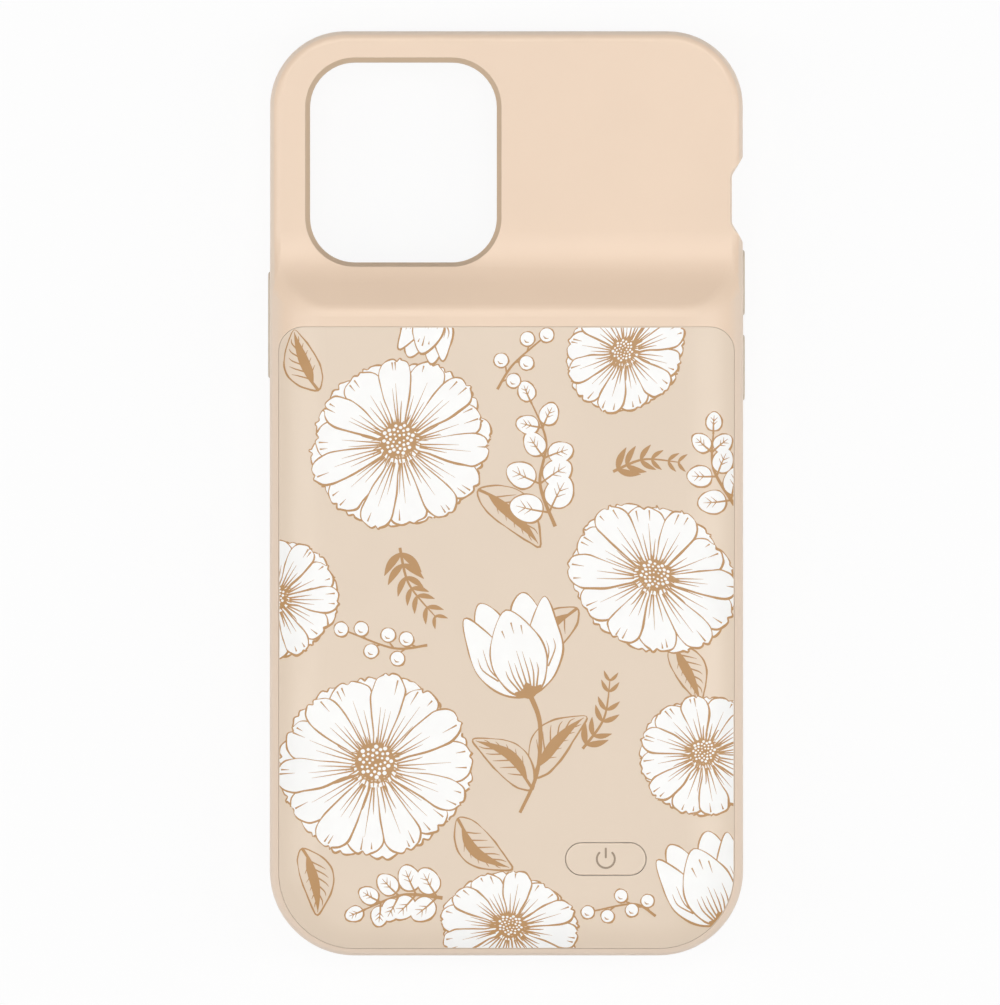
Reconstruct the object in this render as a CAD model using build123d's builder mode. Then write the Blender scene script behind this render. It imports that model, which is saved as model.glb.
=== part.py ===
"""Battery charging case, lying on its open rim with the printed back up.

+X is the side with the two volume keys, +Y the camera end, +Z the back.
The origin is the middle of the case at the rim. All sizes are millimetres.
"""

import os

from build123d import *

os.makedirs("parts", exist_ok=True)

# Pocket for the handset, open at the rim
pocket_width = 71.3
pocket_length = 144.0
pocket_corner = 9.0
pocket_depth = 7.9
lip_height = 1.2
lip_overhang = 1.1

# Walls round the pocket, and the outline of the case
side_wall = 3.35
top_wall = 2.4
chin = 6.0
top_corner = 12.4
bottom_corner = 14.0
rim_round = 1.2
edge_round = 1.8

# Back: thin upper part, ramp, bridge and crowned battery hump
back_skin = 1.7
upper_back = 37.7
ramp_run = 8.5
bridge_width = 2.7
hump_rise = 5.2
crown_run = 9.5
crown_drop = 4.22
foot_round = 16.0
ridge_round = 4.0
roof_wall = 1.2

# Scoop for the mute switch in the +X wall, and its window into the pocket
scoop_from_top = 27.8
scoop_mouth = 14.0
scoop_floor = 7.9
scoop_depth = 1.85
scoop_mouth_round = 1.2
scoop_floor_round = 1.6
scoop_bevel = 0.3
scoop_bevel_angle = 45.0
window_length = 9.0
window_height = 6.0
window_corner = 2.0

# Camera opening
camera_from_side = 22.0
camera_from_top = 21.7
camera_width = 30.8
camera_length = 33.0
camera_corner = 7.4
camera_bevel = 0.8

# Printed hump cover, its seat and its catches
cover_side_inset = 1.5
cover_bottom_inset = 1.2
cover_top_corner = 4.0
cover_bottom_corner = 12.5
cover_wall = 1.2
cover_gap = 0.05
cover_skirt = 1.4
tab_length = 6.0
tab_depth = 1.0
tab_width = 0.9
tab_pitch = 30.0
tab_rows = 3
tab_from_bottom = 55.2
tab_clearance = 0.1
hook_margin = 6.5
hook_reach = 1.0
hook_thickness = 1.0
hook_gap = 0.15

# Battery bay, and the inner plate that closes it from the pocket side
bottom_wall = 2.6
bay_setback = 4.2
bay_corner = 6.0
plate_thickness = 1.0
plate_margin = 0.45
plate_land = 1.7
plate_corner = 9.0
plate_clearance = 0.2

# Battery cell with its tape, protection board, tab strips and leads
cell_side_gap = 3.5
cell_end_gap = 2.02
cell_roof_gap = 0.4
cell_round = 1.2
tape_thickness = 0.2
tape_margin = 5.0
guard_width = 34.0
guard_length = 3.2
guard_gap = 0.3
strip_width = 4.0
strip_length = 2.4
strip_thickness = 0.15
strip_pitch = 22.0
lead_diameter = 0.8
lead_x = 4.0
lead_run = 4.6
lead_turn = 6.5
lead_bend = 3.2

# Main board, its pads, screws and parts
board_side_gap = 6.5
board_length = 19.8
board_thickness = 0.8
board_corner = 3.0
board_clearance = 0.3
pad_diameter = 4.4
pad_height = 0.5
screw_edge = 3.0
screw_end = 3.9
screw_lift = 1.4
screw_shank = 1.3
screw_clearance = 0.1
screw_head = 2.4
screw_head_height = 0.7
screw_bite = 1.0
chip_height = 0.9
inductor_size = 6.4
inductor_height = 2.6
inductor_chamfer = 1.2
inductor_x = -8.5
inductor_lift = -1.1
# Chips: offset from the middle of the board along X and Y, width and length
chip_places = (
    (-16.0, 3.4, 5.0, 5.0),
    (-1.0, 3.2, 4.0, 4.0),
    (4.0, -4.1, 3.0, 4.5),
    (-15.5, -5.1, 5.0, 3.0),
)

# Power button, its switch and their stroke
button_x = 16.3
button_from_bottom = 16.1
button_length = 13.2
button_width = 5.3
button_gap = 0.1
button_round = 0.25
button_flange = 0.5
button_flange_step = 0.9
button_flange_gap = 0.15
button_travel = 0.35
stem_diameter = 2.6
switch_size = 4.6
switch_height = 1.4
plunger_diameter = 2.0
plunger_rise = 0.6
plunger_depth = 0.4
plunger_clearance = 0.15
stroke_margin = 0.1

# Side keys
key_height = 3.4
key_proud = 0.4
key_gap = 0.15
key_round = 0.35
key_flange = 0.6
key_flange_step = 0.8
key_play = 0.1
key_travel = 0.4
key_stop = 0.2
up_key_from_top = 41.4
up_key_length = 10.8
down_key_from_top = 55.45
down_key_length = 10.9
side_key_from_top = 48.4
side_key_length = 17.6

# Plug that enters the handset, standing in the chin
plug_width = 6.7
plug_thickness = 1.5
plug_reach = 7.0
plug_root = 1.6
plug_tip_round = 0.6
plug_window_gap = 0.25
plug_wall = 0.8
plug_base_width = 15.0
plug_base_depth = 2.4
plug_base_below = 2.4
plug_base_above = 2.4
plug_base_clearance = 0.2
contact_count = 8
contact_pitch = 0.72
contact_width = 0.42
contact_length = 3.2
contact_thickness = 0.06
contact_setback = 1.1
flex_x = 5.9
flex_width = 2.4
flex_thickness = 0.2

# Charging socket under the main board, at the bottom edge
socket_width = 7.5
socket_height = 2.5
socket_depth = 5.0
socket_wall = 0.3
socket_recess = 0.2
socket_clearance = 0.15
socket_slope = 0.8
socket_tongue_width = 3.8
socket_tongue_height = 0.6
socket_tongue_length = 3.0

# Charge lights: clear pins in the bottom wall, and their lamps on the board
light_count = 4
light_pitch = 2.6
light_x = 13.6
light_diameter = 1.0
light_clearance = 0.05
light_recess = 0.1
light_drop = 0.3
lamp_width = 1.0
lamp_depth = 0.8
lamp_height = 0.4

# Sound slots through the chin
slot_x = 17.0
slot_length = 12.0
slot_height = 2.4

# Reach of cutting tools past the case, and the distance at which edges count as on a line
past = 5.0
near = 0.01

# Outline of the case, with the origin in its middle
half_width = pocket_width / 2 + side_wall
half_length = (pocket_length + top_wall + chin) / 2
case_width = 2 * half_width
case_length = 2 * half_length
pocket_side = pocket_width / 2
pocket_top = half_length - top_wall
pocket_bottom = -half_length + chin
scoop_middle = half_length - scoop_from_top
camera_x = -half_width + camera_from_side
camera_y = half_length - camera_from_top

# Levels of the back, counted from the rim
pocket_floor = lip_height + pocket_depth
key_level = lip_height + pocket_depth / 2
plate_level = pocket_floor + plate_thickness
back_level = pocket_floor + back_skin
hump_level = back_level + hump_rise

# Crown and ramp
crown_radius = (crown_run**2 + crown_drop**2) / (2 * crown_drop)
ramp_foot = half_length - upper_back
ramp_slope = hump_rise / ramp_run

# Hump cover: its edges, and its seat below the crown at its side edge
cover_top = ramp_foot - ramp_run - bridge_width
cover_bottom = -half_length + cover_bottom_inset
cover_half = half_width - cover_side_inset
cover_ceiling = hump_level - cover_wall
cover_edge_drop = crown_radius - (crown_radius**2 - (crown_run - cover_side_inset) ** 2) ** 0.5
seat_level = hump_level - cover_edge_drop - cover_skirt
tab_x = cover_half - cover_gap - tab_width / 2
tab_middle = -half_length + tab_from_bottom

# Bay, plate, main board and cell, one after the other from the bottom end
bay_bottom = -half_length + bottom_wall
bay_top = ramp_foot - bay_setback
plate_width = pocket_width - 2 * plate_margin
plate_top = bay_top + plate_land
bay_width = plate_width - 2 * plate_land
hook_width = bay_width - 2 * hook_margin
board_width = bay_width - 2 * board_side_gap
board_end = bay_bottom + board_clearance
board_middle = board_end + board_length / 2
board_level = plate_level + pad_height
board_top = board_level + board_thickness
screw_middle = board_middle + screw_lift
screw_column_pitch = board_width - 2 * screw_edge
screw_row_pitch = board_length - 2 * screw_end
guard_end = board_end + board_length + guard_gap
cell_end = guard_end + guard_length
cell_length = cover_top - cover_gap - cover_wall - cell_end_gap - cell_end
cell_middle = cell_end + cell_length / 2
cell_width = bay_width - 2 * cell_side_gap
tape_top = plate_level + tape_thickness
cell_thickness = cover_ceiling - tape_top - cell_roof_gap
wire_level = board_top + lead_diameter / 2

# Button, keys, plug, socket and lights
button_y = -half_length + button_from_bottom
key_recess = key_flange + key_play + key_travel + key_stop
plug_face = pocket_bottom - plug_wall
plug_floor = key_level - plug_base_below
plug_roof = key_level + plug_base_above
socket_level = board_level - socket_height / 2
socket_front = -half_length + socket_recess
socket_back = socket_front + socket_depth
light_level = board_level - light_drop
light_places = [light_x + (i - (light_count - 1) / 2) * light_pitch for i in range(light_count)]


def edges_over(part, wire, level):
    """Edges of a part that lie straight above a flat wire, higher than a level."""
    return [
        edge
        for edge in part.edges()
        if (edge @ 0.5).Z > level and wire.distance_to(Vertex((edge @ 0.5).X, (edge @ 0.5).Y, 0)) < near
    ]


def crowned_form(inset):
    """Crowned block over the whole back, drawn in by inset on its sides and top."""
    overhang = crown_radius - crown_run - inset
    with BuildPart() as form:
        with BuildSketch() as base:
            with Locations((0, past)):
                Rectangle(case_width + 2 * overhang, case_length + 2 * (overhang + past))
            fillet(base.vertices().group_by(Axis.Y)[0], bottom_corner + overhang)
        extrude(amount=hump_level - inset)
        top_edges = form.edges().group_by(Axis.Z)[-1]
        fillet(top_edges.sort_by(Axis.Y)[:-1], crown_radius - inset)
    return form.part


def ramp_form(foot_y, foot_level, roof_level):
    """Everything below the side profile: low upper back, rounded foot and sloping ramp."""
    reach = half_length + past
    with BuildPart() as form:
        with BuildSketch(Plane.YZ) as profile:
            with BuildLine():
                Polyline(
                    (-reach, -past),
                    (reach, -past),
                    (reach, foot_level),
                    (foot_y, foot_level),
                    (foot_y - (roof_level - foot_level) / ramp_slope, roof_level),
                    (-reach, roof_level),
                    close=True,
                )
            make_face()
            fillet(profile.vertices().sort_by_distance((foot_y, foot_level, 0))[0], foot_round)
        extrude(amount=half_width + past, both=True)
    return form.part


def cover_outline(inset):
    """Outline of the hump cover, drawn in by inset."""
    with BuildSketch() as outline:
        with Locations((0, (cover_top + cover_bottom) / 2)):
            Rectangle(2 * (cover_half - inset), cover_top - cover_bottom - 2 * inset)
        fillet(outline.vertices().group_by(Axis.Y)[-1], cover_top_corner - inset)
        fillet(outline.vertices().group_by(Axis.Y)[0], cover_bottom_corner - inset)
    return outline.sketch


def rounded_outline(width, low, high, corner):
    """Rectangle with equal corner radii between two heights of the back view."""
    with BuildSketch() as outline:
        with Locations((0, (low + high) / 2)):
            RectangleRounded(width, high - low, corner)
    return outline.sketch


def socket_section(inset):
    """Section of the charging socket, with its two lower corners sloped."""
    half = socket_width / 2 - inset
    rise = socket_height / 2 - inset
    with BuildSketch() as section:
        with BuildLine():
            Polyline(
                (-half, rise),
                (half, rise),
                (half, 0),
                (half - socket_slope, -rise),
                (socket_slope - half, -rise),
                (-half, 0),
                close=True,
            )
        make_face()
    return section.sketch


def wall_key(middle, length, side):
    """Side key: a cap through the wall and a flange that keeps it from falling out."""
    flange_back = pocket_side + key_recess - key_play - key_flange
    with BuildPart() as key:
        with BuildSketch(Plane.YZ.offset(side * flange_back)):
            with Locations((middle, key_level)):
                RectangleRounded(length, key_height, key_height / 2 - key_round)
        extrude(amount=side * (half_width + key_proud - flange_back))
        outer = key.faces().sort_by(Axis.X)[-1 if side > 0 else 0]
        fillet(outer.edges(), key_round)
        with BuildSketch(Plane.YZ.offset(side * flange_back)):
            with Locations((middle, key_level)):
                Rectangle(length + 2 * key_flange_step, key_height + 2 * key_flange_step)
        extrude(amount=side * key_flange)
    return key.part


# Shared outlines
with BuildSketch() as case_outline:
    Rectangle(case_width, case_length)
    fillet(case_outline.vertices().group_by(Axis.Y)[-1], top_corner)
    fillet(case_outline.vertices().group_by(Axis.Y)[0], bottom_corner)

with BuildSketch() as scoop_outline:
    with Locations((half_width, scoop_middle)):
        Rectangle(past, scoop_mouth + 2 * scoop_mouth_round, align=(Align.MIN, Align.CENTER))
    with BuildLine():
        Polyline(
            (half_width, scoop_middle - scoop_mouth / 2),
            (half_width, scoop_middle + scoop_mouth / 2),
            (half_width - scoop_depth, scoop_middle + scoop_floor / 2),
            (half_width - scoop_depth, scoop_middle - scoop_floor / 2),
            close=True,
        )
    make_face()
    for spread, corner_round in ((scoop_mouth, scoop_mouth_round), (scoop_floor, scoop_floor_round)):
        corners = scoop_outline.vertices().filter_by(
            lambda v: v.X < half_width + near and abs(abs(v.Y - scoop_middle) - spread / 2) < near
        )
        fillet(corners, corner_round)

with BuildSketch() as camera_outline:
    with Locations((camera_x, camera_y)):
        RectangleRounded(camera_width, camera_length, camera_corner)

case_wire = case_outline.sketch.face().outer_wire()
camera_wire = camera_outline.sketch.face().outer_wire()
crown = crowned_form(0)
crown_inside = crowned_form(cover_wall)
keys = {
    "volume_up_key": (half_length - up_key_from_top, up_key_length, 1),
    "volume_down_key": (half_length - down_key_from_top, down_key_length, 1),
    "side_key": (half_length - side_key_from_top, side_key_length, -1),
}

# Form of the whole back: crown and ramp, with a soft ridge where they meet
with BuildPart() as back_form:
    add(crown)
    add(ramp_form(ramp_foot, back_level, hump_level + past), mode=Mode.INTERSECT)
    ridge = back_form.edges().filter_by(
        lambda e: cover_top < (e @ 0.5).Y < half_length
        and (e @ 0.5).Z > back_level - near
        and (abs((e @ 0.5).X) > half_width - crown_run or (e @ 0.5).Z > hump_level - near)
    )
    fillet(ridge, ridge_round)

# Battery bay: the hollow between the inner plate, the cover and the bridge
with BuildPart() as bay:
    with BuildSketch(Plane.XY.offset(plate_level)):
        add(rounded_outline(bay_width, bay_bottom, bay_top, bay_corner))
    extrude(amount=hump_level)
    add(crown_inside, mode=Mode.INTERSECT)
    add(ramp_form(ramp_foot - roof_wall, back_level - roof_wall, cover_ceiling), mode=Mode.INTERSECT)

# Case frame: one moulding with rim, walls, upper back, ramp and bridge
with BuildPart() as case_frame:
    with BuildSketch():
        add(case_outline.sketch)
    extrude(amount=hump_level + past)
    add(back_form.part, mode=Mode.INTERSECT)
    fillet(edges_over(case_frame.part, case_wire, back_level - edge_round), edge_round)
    fillet(case_frame.edges().group_by(Axis.Z)[0], rim_round)
    # Scoop, beveled along the back
    with BuildSketch():
        add(scoop_outline.sketch)
    extrude(amount=hump_level, mode=Mode.SUBTRACT)
    with BuildSketch(Plane.XY.offset(back_level - scoop_bevel)):
        add(scoop_outline.sketch)
    extrude(amount=2 * scoop_bevel, taper=-scoop_bevel_angle, mode=Mode.SUBTRACT)
    # Pocket with its lip, rebate of the inner plate and battery bay
    with BuildSketch(Plane.XY.offset(lip_height)):
        add(rounded_outline(pocket_width, pocket_bottom, pocket_top, pocket_corner))
    extrude(amount=pocket_depth, mode=Mode.SUBTRACT)
    with BuildSketch():
        add(
            rounded_outline(
                pocket_width - 2 * lip_overhang,
                pocket_bottom + lip_overhang,
                pocket_top - lip_overhang,
                pocket_corner - lip_overhang,
            )
        )
    extrude(amount=lip_height, mode=Mode.SUBTRACT)
    with BuildSketch(Plane.XY.offset(pocket_floor)):
        add(rounded_outline(plate_width, pocket_bottom, plate_top, plate_corner))
    extrude(amount=plate_thickness, mode=Mode.SUBTRACT)
    add(bay.part, mode=Mode.SUBTRACT)
    # Seat of the hump cover, with slots for its tabs
    with BuildSketch(Plane.XY.offset(seat_level)):
        add(cover_outline(0))
    extrude(amount=hump_level, mode=Mode.SUBTRACT)
    with BuildSketch(Plane.XY.offset(seat_level)):
        for side in (-1, 1):
            with Locations((side * tab_x, tab_middle)):
                with GridLocations(0, tab_pitch, 1, tab_rows):
                    Rectangle(tab_width + 2 * tab_clearance, tab_length + 2 * tab_clearance)
    extrude(amount=-tab_depth - tab_clearance, mode=Mode.SUBTRACT)
    # Camera opening with its bevel
    with BuildSketch(Plane.XY.offset(pocket_floor)):
        add(camera_outline.sketch)
    extrude(amount=hump_level, mode=Mode.SUBTRACT)
    chamfer(edges_over(case_frame.part, camera_wire, back_level - camera_bevel), camera_bevel)
    # Window of the mute switch
    with BuildSketch(Plane.YZ):
        with Locations((scoop_middle, key_level)):
            RectangleRounded(window_length, window_height, window_corner)
    extrude(amount=half_width + past, mode=Mode.SUBTRACT)
    # Windows of the side keys, and recesses for their flanges
    for middle, length, side in keys.values():
        window_round = key_height / 2 + key_gap - key_round
        with BuildSketch(Plane.YZ):
            with Locations((middle, key_level)):
                RectangleRounded(length + 2 * key_gap, key_height + 2 * key_gap, window_round)
        extrude(amount=side * (half_width + past), mode=Mode.SUBTRACT)
        spread = 2 * (key_flange_step + key_gap)
        with BuildSketch(Plane.YZ):
            with Locations((middle, key_level)):
                Rectangle(length + spread, key_height + spread)
        extrude(amount=side * (pocket_side + key_recess), mode=Mode.SUBTRACT)
    # Chin: plug well, plug window, sound slots, charging socket and light pins
    with BuildSketch(Plane.XY.offset(plug_floor)):
        with Locations((0, plug_face)):
            Rectangle(
                plug_base_width + 2 * plug_base_clearance,
                plug_base_depth + plug_base_clearance,
                align=(Align.CENTER, Align.MAX),
            )
    extrude(amount=plate_level - plug_floor, mode=Mode.SUBTRACT)
    with BuildSketch(Plane.XZ.offset(-pocket_bottom)):
        with Locations((0, key_level)):
            Rectangle(plug_width + 2 * plug_window_gap, plug_thickness + 2 * plug_window_gap)
    extrude(amount=plug_wall, mode=Mode.SUBTRACT)
    with BuildSketch(Plane.XZ.offset(-pocket_bottom)):
        with Locations((-slot_x, key_level), (slot_x, key_level)):
            SlotOverall(slot_length, slot_height)
    extrude(amount=half_length, mode=Mode.SUBTRACT)
    with BuildSketch(Plane.XZ.offset(-socket_back - socket_clearance)):
        with Locations((0, socket_level)):
            add(socket_section(-socket_clearance))
    extrude(amount=half_length, mode=Mode.SUBTRACT)
    with BuildSketch(Plane.XZ.offset(-bay_bottom)):
        with Locations([(x, light_level) for x in light_places]):
            Circle(light_diameter / 2 + light_clearance)
    extrude(amount=half_length, mode=Mode.SUBTRACT)

# Hump cover: a crowned shell with tabs at its sides and a hook under the bridge
with BuildPart() as cover_hollow:
    with BuildSketch():
        add(cover_outline(cover_gap + cover_wall))
    extrude(amount=hump_level)
    add(crown_inside, mode=Mode.INTERSECT)

with BuildPart() as battery_cover:
    with BuildSketch(Plane.XY.offset(seat_level)):
        add(cover_outline(cover_gap))
    extrude(amount=hump_level)
    add(crown, mode=Mode.INTERSECT)
    add(cover_hollow.part, mode=Mode.SUBTRACT)
    with BuildSketch(Plane.XY.offset(seat_level)):
        for side in (-1, 1):
            with Locations((side * tab_x, tab_middle)):
                with GridLocations(0, tab_pitch, 1, tab_rows):
                    Rectangle(tab_width, tab_length)
    extrude(amount=-tab_depth)
    with BuildSketch(Plane.XY.offset(cover_ceiling - hook_gap)):
        with Locations((0, cover_top - cover_gap - cover_wall / 2)):
            Rectangle(hook_width, hook_reach + cover_wall / 2, align=(Align.CENTER, Align.MIN))
    extrude(amount=-hook_thickness)
    with BuildSketch(Plane.XY.offset(seat_level)):
        with Locations((button_x, button_y)):
            SlotOverall(button_length + 2 * button_gap, button_width + 2 * button_gap)
    extrude(amount=hump_level, mode=Mode.SUBTRACT)

# Inner plate with the pads that carry the main board
with BuildPart() as inner_plate:
    with BuildSketch(Plane.XY.offset(pocket_floor)):
        add(
            rounded_outline(
                plate_width - 2 * plate_clearance,
                pocket_bottom + plate_clearance,
                plate_top - plate_clearance,
                plate_corner - plate_clearance,
            )
        )
    extrude(amount=plate_thickness)
    with BuildSketch(Plane.XY.offset(plate_level)):
        with Locations((0, screw_middle)), GridLocations(screw_column_pitch, screw_row_pitch, 2, 2):
            Circle(pad_diameter / 2)
    extrude(amount=pad_height)
    with BuildSketch(Plane.XY.offset(board_level)):
        with Locations((0, screw_middle)), GridLocations(screw_column_pitch, screw_row_pitch, 2, 2):
            Circle(screw_shank / 2 + screw_clearance / 2)
    extrude(amount=-screw_bite - screw_clearance, mode=Mode.SUBTRACT)

# Battery cell on its tape, with protection board, tab strips and leads
with BuildPart() as cell_tape:
    with BuildSketch(Plane.XY.offset(plate_level)):
        with Locations((0, cell_middle)):
            Rectangle(cell_width - 2 * tape_margin, cell_length - 2 * tape_margin)
    extrude(amount=tape_thickness)

with BuildPart() as battery_cell:
    with BuildSketch(Plane.XY.offset(tape_top)):
        with Locations((0, cell_middle)):
            Rectangle(cell_width, cell_length)
    extrude(amount=cell_thickness)
    fillet(battery_cell.edges(), cell_round)

with BuildPart() as protection_board:
    with BuildSketch(Plane.XY.offset(board_top)):
        with Locations((0, cell_end)):
            Rectangle(guard_width, guard_length, align=(Align.CENTER, Align.MAX))
    extrude(amount=lead_diameter)

with BuildPart() as cell_tabs:
    with BuildSketch(Plane.XY.offset(board_top + lead_diameter)):
        with Locations((-strip_pitch / 2, cell_end), (strip_pitch / 2, cell_end)):
            Rectangle(strip_width, strip_length, align=(Align.CENTER, Align.MAX))
    extrude(amount=strip_thickness)

leads = {}
for lead_name, side in (("red_lead", 1), ("black_lead", -1)):
    with BuildPart() as lead:
        with BuildLine() as route:
            FilletPolyline(
                (side * lead_x, guard_end, wire_level),
                (side * lead_x, guard_end - lead_run, wire_level),
                (side * (lead_x + lead_turn), guard_end - lead_run, wire_level),
                radius=lead_bend,
            )
        with BuildSketch(Plane((side * lead_x, guard_end, wire_level), z_dir=(0, -1, 0))):
            Circle(lead_diameter / 2)
        sweep(path=route.line)
    leads[lead_name] = lead.part

# Main board with its screws and parts
with BuildPart() as main_board:
    with BuildSketch(Plane.XY.offset(board_level)):
        with Locations((0, board_middle)):
            RectangleRounded(board_width, board_length, board_corner)
        with Locations((0, screw_middle)), GridLocations(screw_column_pitch, screw_row_pitch, 2, 2):
            Circle(screw_shank / 2 + screw_clearance, mode=Mode.SUBTRACT)
    extrude(amount=board_thickness)

with BuildPart() as board_screws:
    with BuildSketch(Plane.XY.offset(board_top)):
        with Locations((0, screw_middle)), GridLocations(screw_column_pitch, screw_row_pitch, 2, 2):
            Circle(screw_head / 2)
    extrude(amount=screw_head_height)
    with BuildSketch(Plane.XY.offset(board_top)):
        with Locations((0, screw_middle)), GridLocations(screw_column_pitch, screw_row_pitch, 2, 2):
            Circle(screw_shank / 2)
    extrude(amount=-board_thickness - screw_bite)

with BuildPart() as board_chips:
    for chip_x, chip_lift, chip_width, chip_length in chip_places:
        with BuildSketch(Plane.XY.offset(board_top)):
            with Locations((chip_x, board_middle + chip_lift)):
                Rectangle(chip_width, chip_length)
        extrude(amount=chip_height)

with BuildPart() as power_inductor:
    with BuildSketch(Plane.XY.offset(board_top)) as inductor_outline:
        with Locations((inductor_x, board_middle + inductor_lift)):
            Rectangle(inductor_size, inductor_size)
        chamfer(inductor_outline.vertices(), inductor_chamfer)
    extrude(amount=inductor_height)

with BuildPart() as status_lamps:
    with BuildSketch(Plane.XY.offset(board_level)):
        with Locations([(x, board_end) for x in light_places]):
            Rectangle(lamp_width, lamp_depth, align=(Align.CENTER, Align.MIN))
    extrude(amount=-lamp_height)

with BuildPart() as light_pins:
    with BuildSketch(Plane.XZ.offset(-bay_bottom)):
        with Locations([(x, light_level) for x in light_places]):
            Circle(light_diameter / 2)
    extrude(amount=half_length + bay_bottom - light_recess)

# Power button over its switch
with BuildPart() as switch_body:
    with BuildSketch(Plane.XY.offset(board_top)):
        with Locations((button_x, button_y)):
            RectangleRounded(switch_size, switch_size, plunger_clearance)
    extrude(amount=switch_height)
    with BuildSketch(Plane.XY.offset(board_top + switch_height)):
        with Locations((button_x, button_y)):
            Circle(plunger_diameter / 2 + plunger_clearance)
    extrude(amount=-plunger_depth - button_travel - stroke_margin, mode=Mode.SUBTRACT)

with BuildPart() as switch_plunger:
    with BuildSketch(Plane.XY.offset(board_top + switch_height - plunger_depth)):
        with Locations((button_x, button_y)):
            Circle(plunger_diameter / 2)
    extrude(amount=plunger_depth + plunger_rise)

with BuildPart() as power_button:
    flange_top = cover_ceiling - button_flange_gap
    flange_bottom = flange_top - button_flange
    with BuildSketch(Plane.XY.offset(flange_bottom)):
        with Locations((button_x, button_y)):
            SlotOverall(button_length, button_width)
    extrude(amount=hump_level - flange_bottom)
    fillet(power_button.edges().group_by(Axis.Z)[-1], button_round)
    with BuildSketch(Plane.XY.offset(flange_bottom)):
        with Locations((button_x, button_y)):
            SlotOverall(button_length + 2 * button_flange_step, button_width + 2 * button_flange_step)
    extrude(amount=button_flange)
    with BuildSketch(Plane.XY.offset(board_top + switch_height + plunger_rise)):
        with Locations((button_x, button_y)):
            Circle(stem_diameter / 2)
    extrude(until=Until.NEXT)

# Plug that enters the handset, with its contacts, base and flexible link
with BuildPart() as plug_tongue:
    with BuildSketch(Plane.XZ.offset(-plug_face + plug_root)):
        with Locations((0, key_level)):
            RectangleRounded(plug_width, plug_thickness, plug_tip_round)
    extrude(amount=-plug_root - plug_wall - plug_reach)
    fillet(plug_tongue.faces().sort_by(Axis.Y)[-1].edges(), plug_tip_round / 2)

with BuildPart() as plug_contacts:
    contact_y = pocket_bottom + plug_reach - contact_setback
    for face in (-1, 1):
        with BuildSketch(Plane.XY.offset(key_level + face * plug_thickness / 2)):
            with Locations((0, contact_y - contact_length / 2)):
                with GridLocations(contact_pitch, 0, contact_count, 1):
                    Rectangle(contact_width, contact_length)
        extrude(amount=face * contact_thickness)

with BuildPart() as plug_base:
    with BuildSketch(Plane.XZ.offset(-plug_face)):
        with Locations((0, plug_floor)):
            Rectangle(plug_base_width, plug_roof - plug_floor, align=(Align.CENTER, Align.MIN))
    extrude(amount=plug_base_depth)
    add(plug_tongue.part, mode=Mode.SUBTRACT)

with BuildPart() as plug_flex:
    with BuildSketch(Plane.XY.offset(plug_roof)):
        with Locations((flex_x, plug_face - plug_base_depth / 2)):
            Rectangle(flex_width, flex_thickness)
    extrude(amount=board_level - plug_roof)

# Charging socket: a folded metal shell round a tongue on a back block
with BuildPart() as charging_socket:
    with BuildSketch(Plane.XZ.offset(-socket_back)):
        with Locations((0, socket_level)):
            add(socket_section(0))
    extrude(amount=socket_depth)
    with BuildSketch(Plane.XZ.offset(-socket_back + socket_wall)):
        with Locations((0, socket_level)):
            add(socket_section(socket_wall))
    extrude(amount=socket_depth, mode=Mode.SUBTRACT)

with BuildPart() as socket_tongue:
    with BuildSketch(Plane.XZ.offset(-socket_back + socket_wall)):
        with Locations((0, socket_level)):
            add(socket_section(socket_wall))
    extrude(amount=socket_wall)
    with BuildSketch(Plane.XZ.offset(-socket_back + 2 * socket_wall)):
        with Locations((0, socket_level)):
            Rectangle(socket_tongue_width, socket_tongue_height)
    extrude(amount=socket_tongue_length)

pieces = {
    "case_frame": case_frame.part,
    "battery_cover": battery_cover.part,
    "inner_plate": inner_plate.part,
    "cell_tape": cell_tape.part,
    "battery_cell": battery_cell.part,
    "protection_board": protection_board.part,
    "cell_tabs": cell_tabs.part,
    "main_board": main_board.part,
    "board_screws": board_screws.part,
    "board_chips": board_chips.part,
    "power_inductor": power_inductor.part,
    "status_lamps": status_lamps.part,
    "light_pins": light_pins.part,
    "switch_body": switch_body.part,
    "switch_plunger": switch_plunger.part,
    "power_button": power_button.part,
    "plug_tongue": plug_tongue.part,
    "plug_contacts": plug_contacts.part,
    "plug_base": plug_base.part,
    "plug_flex": plug_flex.part,
    "charging_socket": charging_socket.part,
    "socket_tongue": socket_tongue.part,
    **leads,
    **{name: wall_key(*place) for name, place in keys.items()},
}
for name, piece in pieces.items():
    piece.label = name
    export_step(piece, f"parts/{name}.step")
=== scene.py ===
"""Looks of the battery charging case: its finishes, the printed back and the studio stage.

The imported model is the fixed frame: +X is the side with the two volume keys, +Y the camera end
and +Z the back.
"""

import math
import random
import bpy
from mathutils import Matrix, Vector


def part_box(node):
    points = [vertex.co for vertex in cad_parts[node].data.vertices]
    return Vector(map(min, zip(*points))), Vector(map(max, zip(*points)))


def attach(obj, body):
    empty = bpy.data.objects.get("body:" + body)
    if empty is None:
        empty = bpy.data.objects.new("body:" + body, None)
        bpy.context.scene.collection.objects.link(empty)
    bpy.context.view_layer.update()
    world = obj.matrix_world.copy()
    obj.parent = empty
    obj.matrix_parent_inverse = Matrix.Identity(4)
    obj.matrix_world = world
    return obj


bl_info = {
    "name": "Battery charging case looks",
    "version": (1, 0, 0),
    "blender": (4, 5, 0),
    "location": "View3D > Sidebar > Charging case",
    "description": "Finishes, printed back and studio stage of a battery charging case",
    "category": "Object",
}

import bmesh
import bpy
from bpy.props import FloatProperty, FloatVectorProperty, IntProperty, PointerProperty
from mathutils import Vector
from mathutils.geometry import delaunay_2d_cdt

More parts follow.
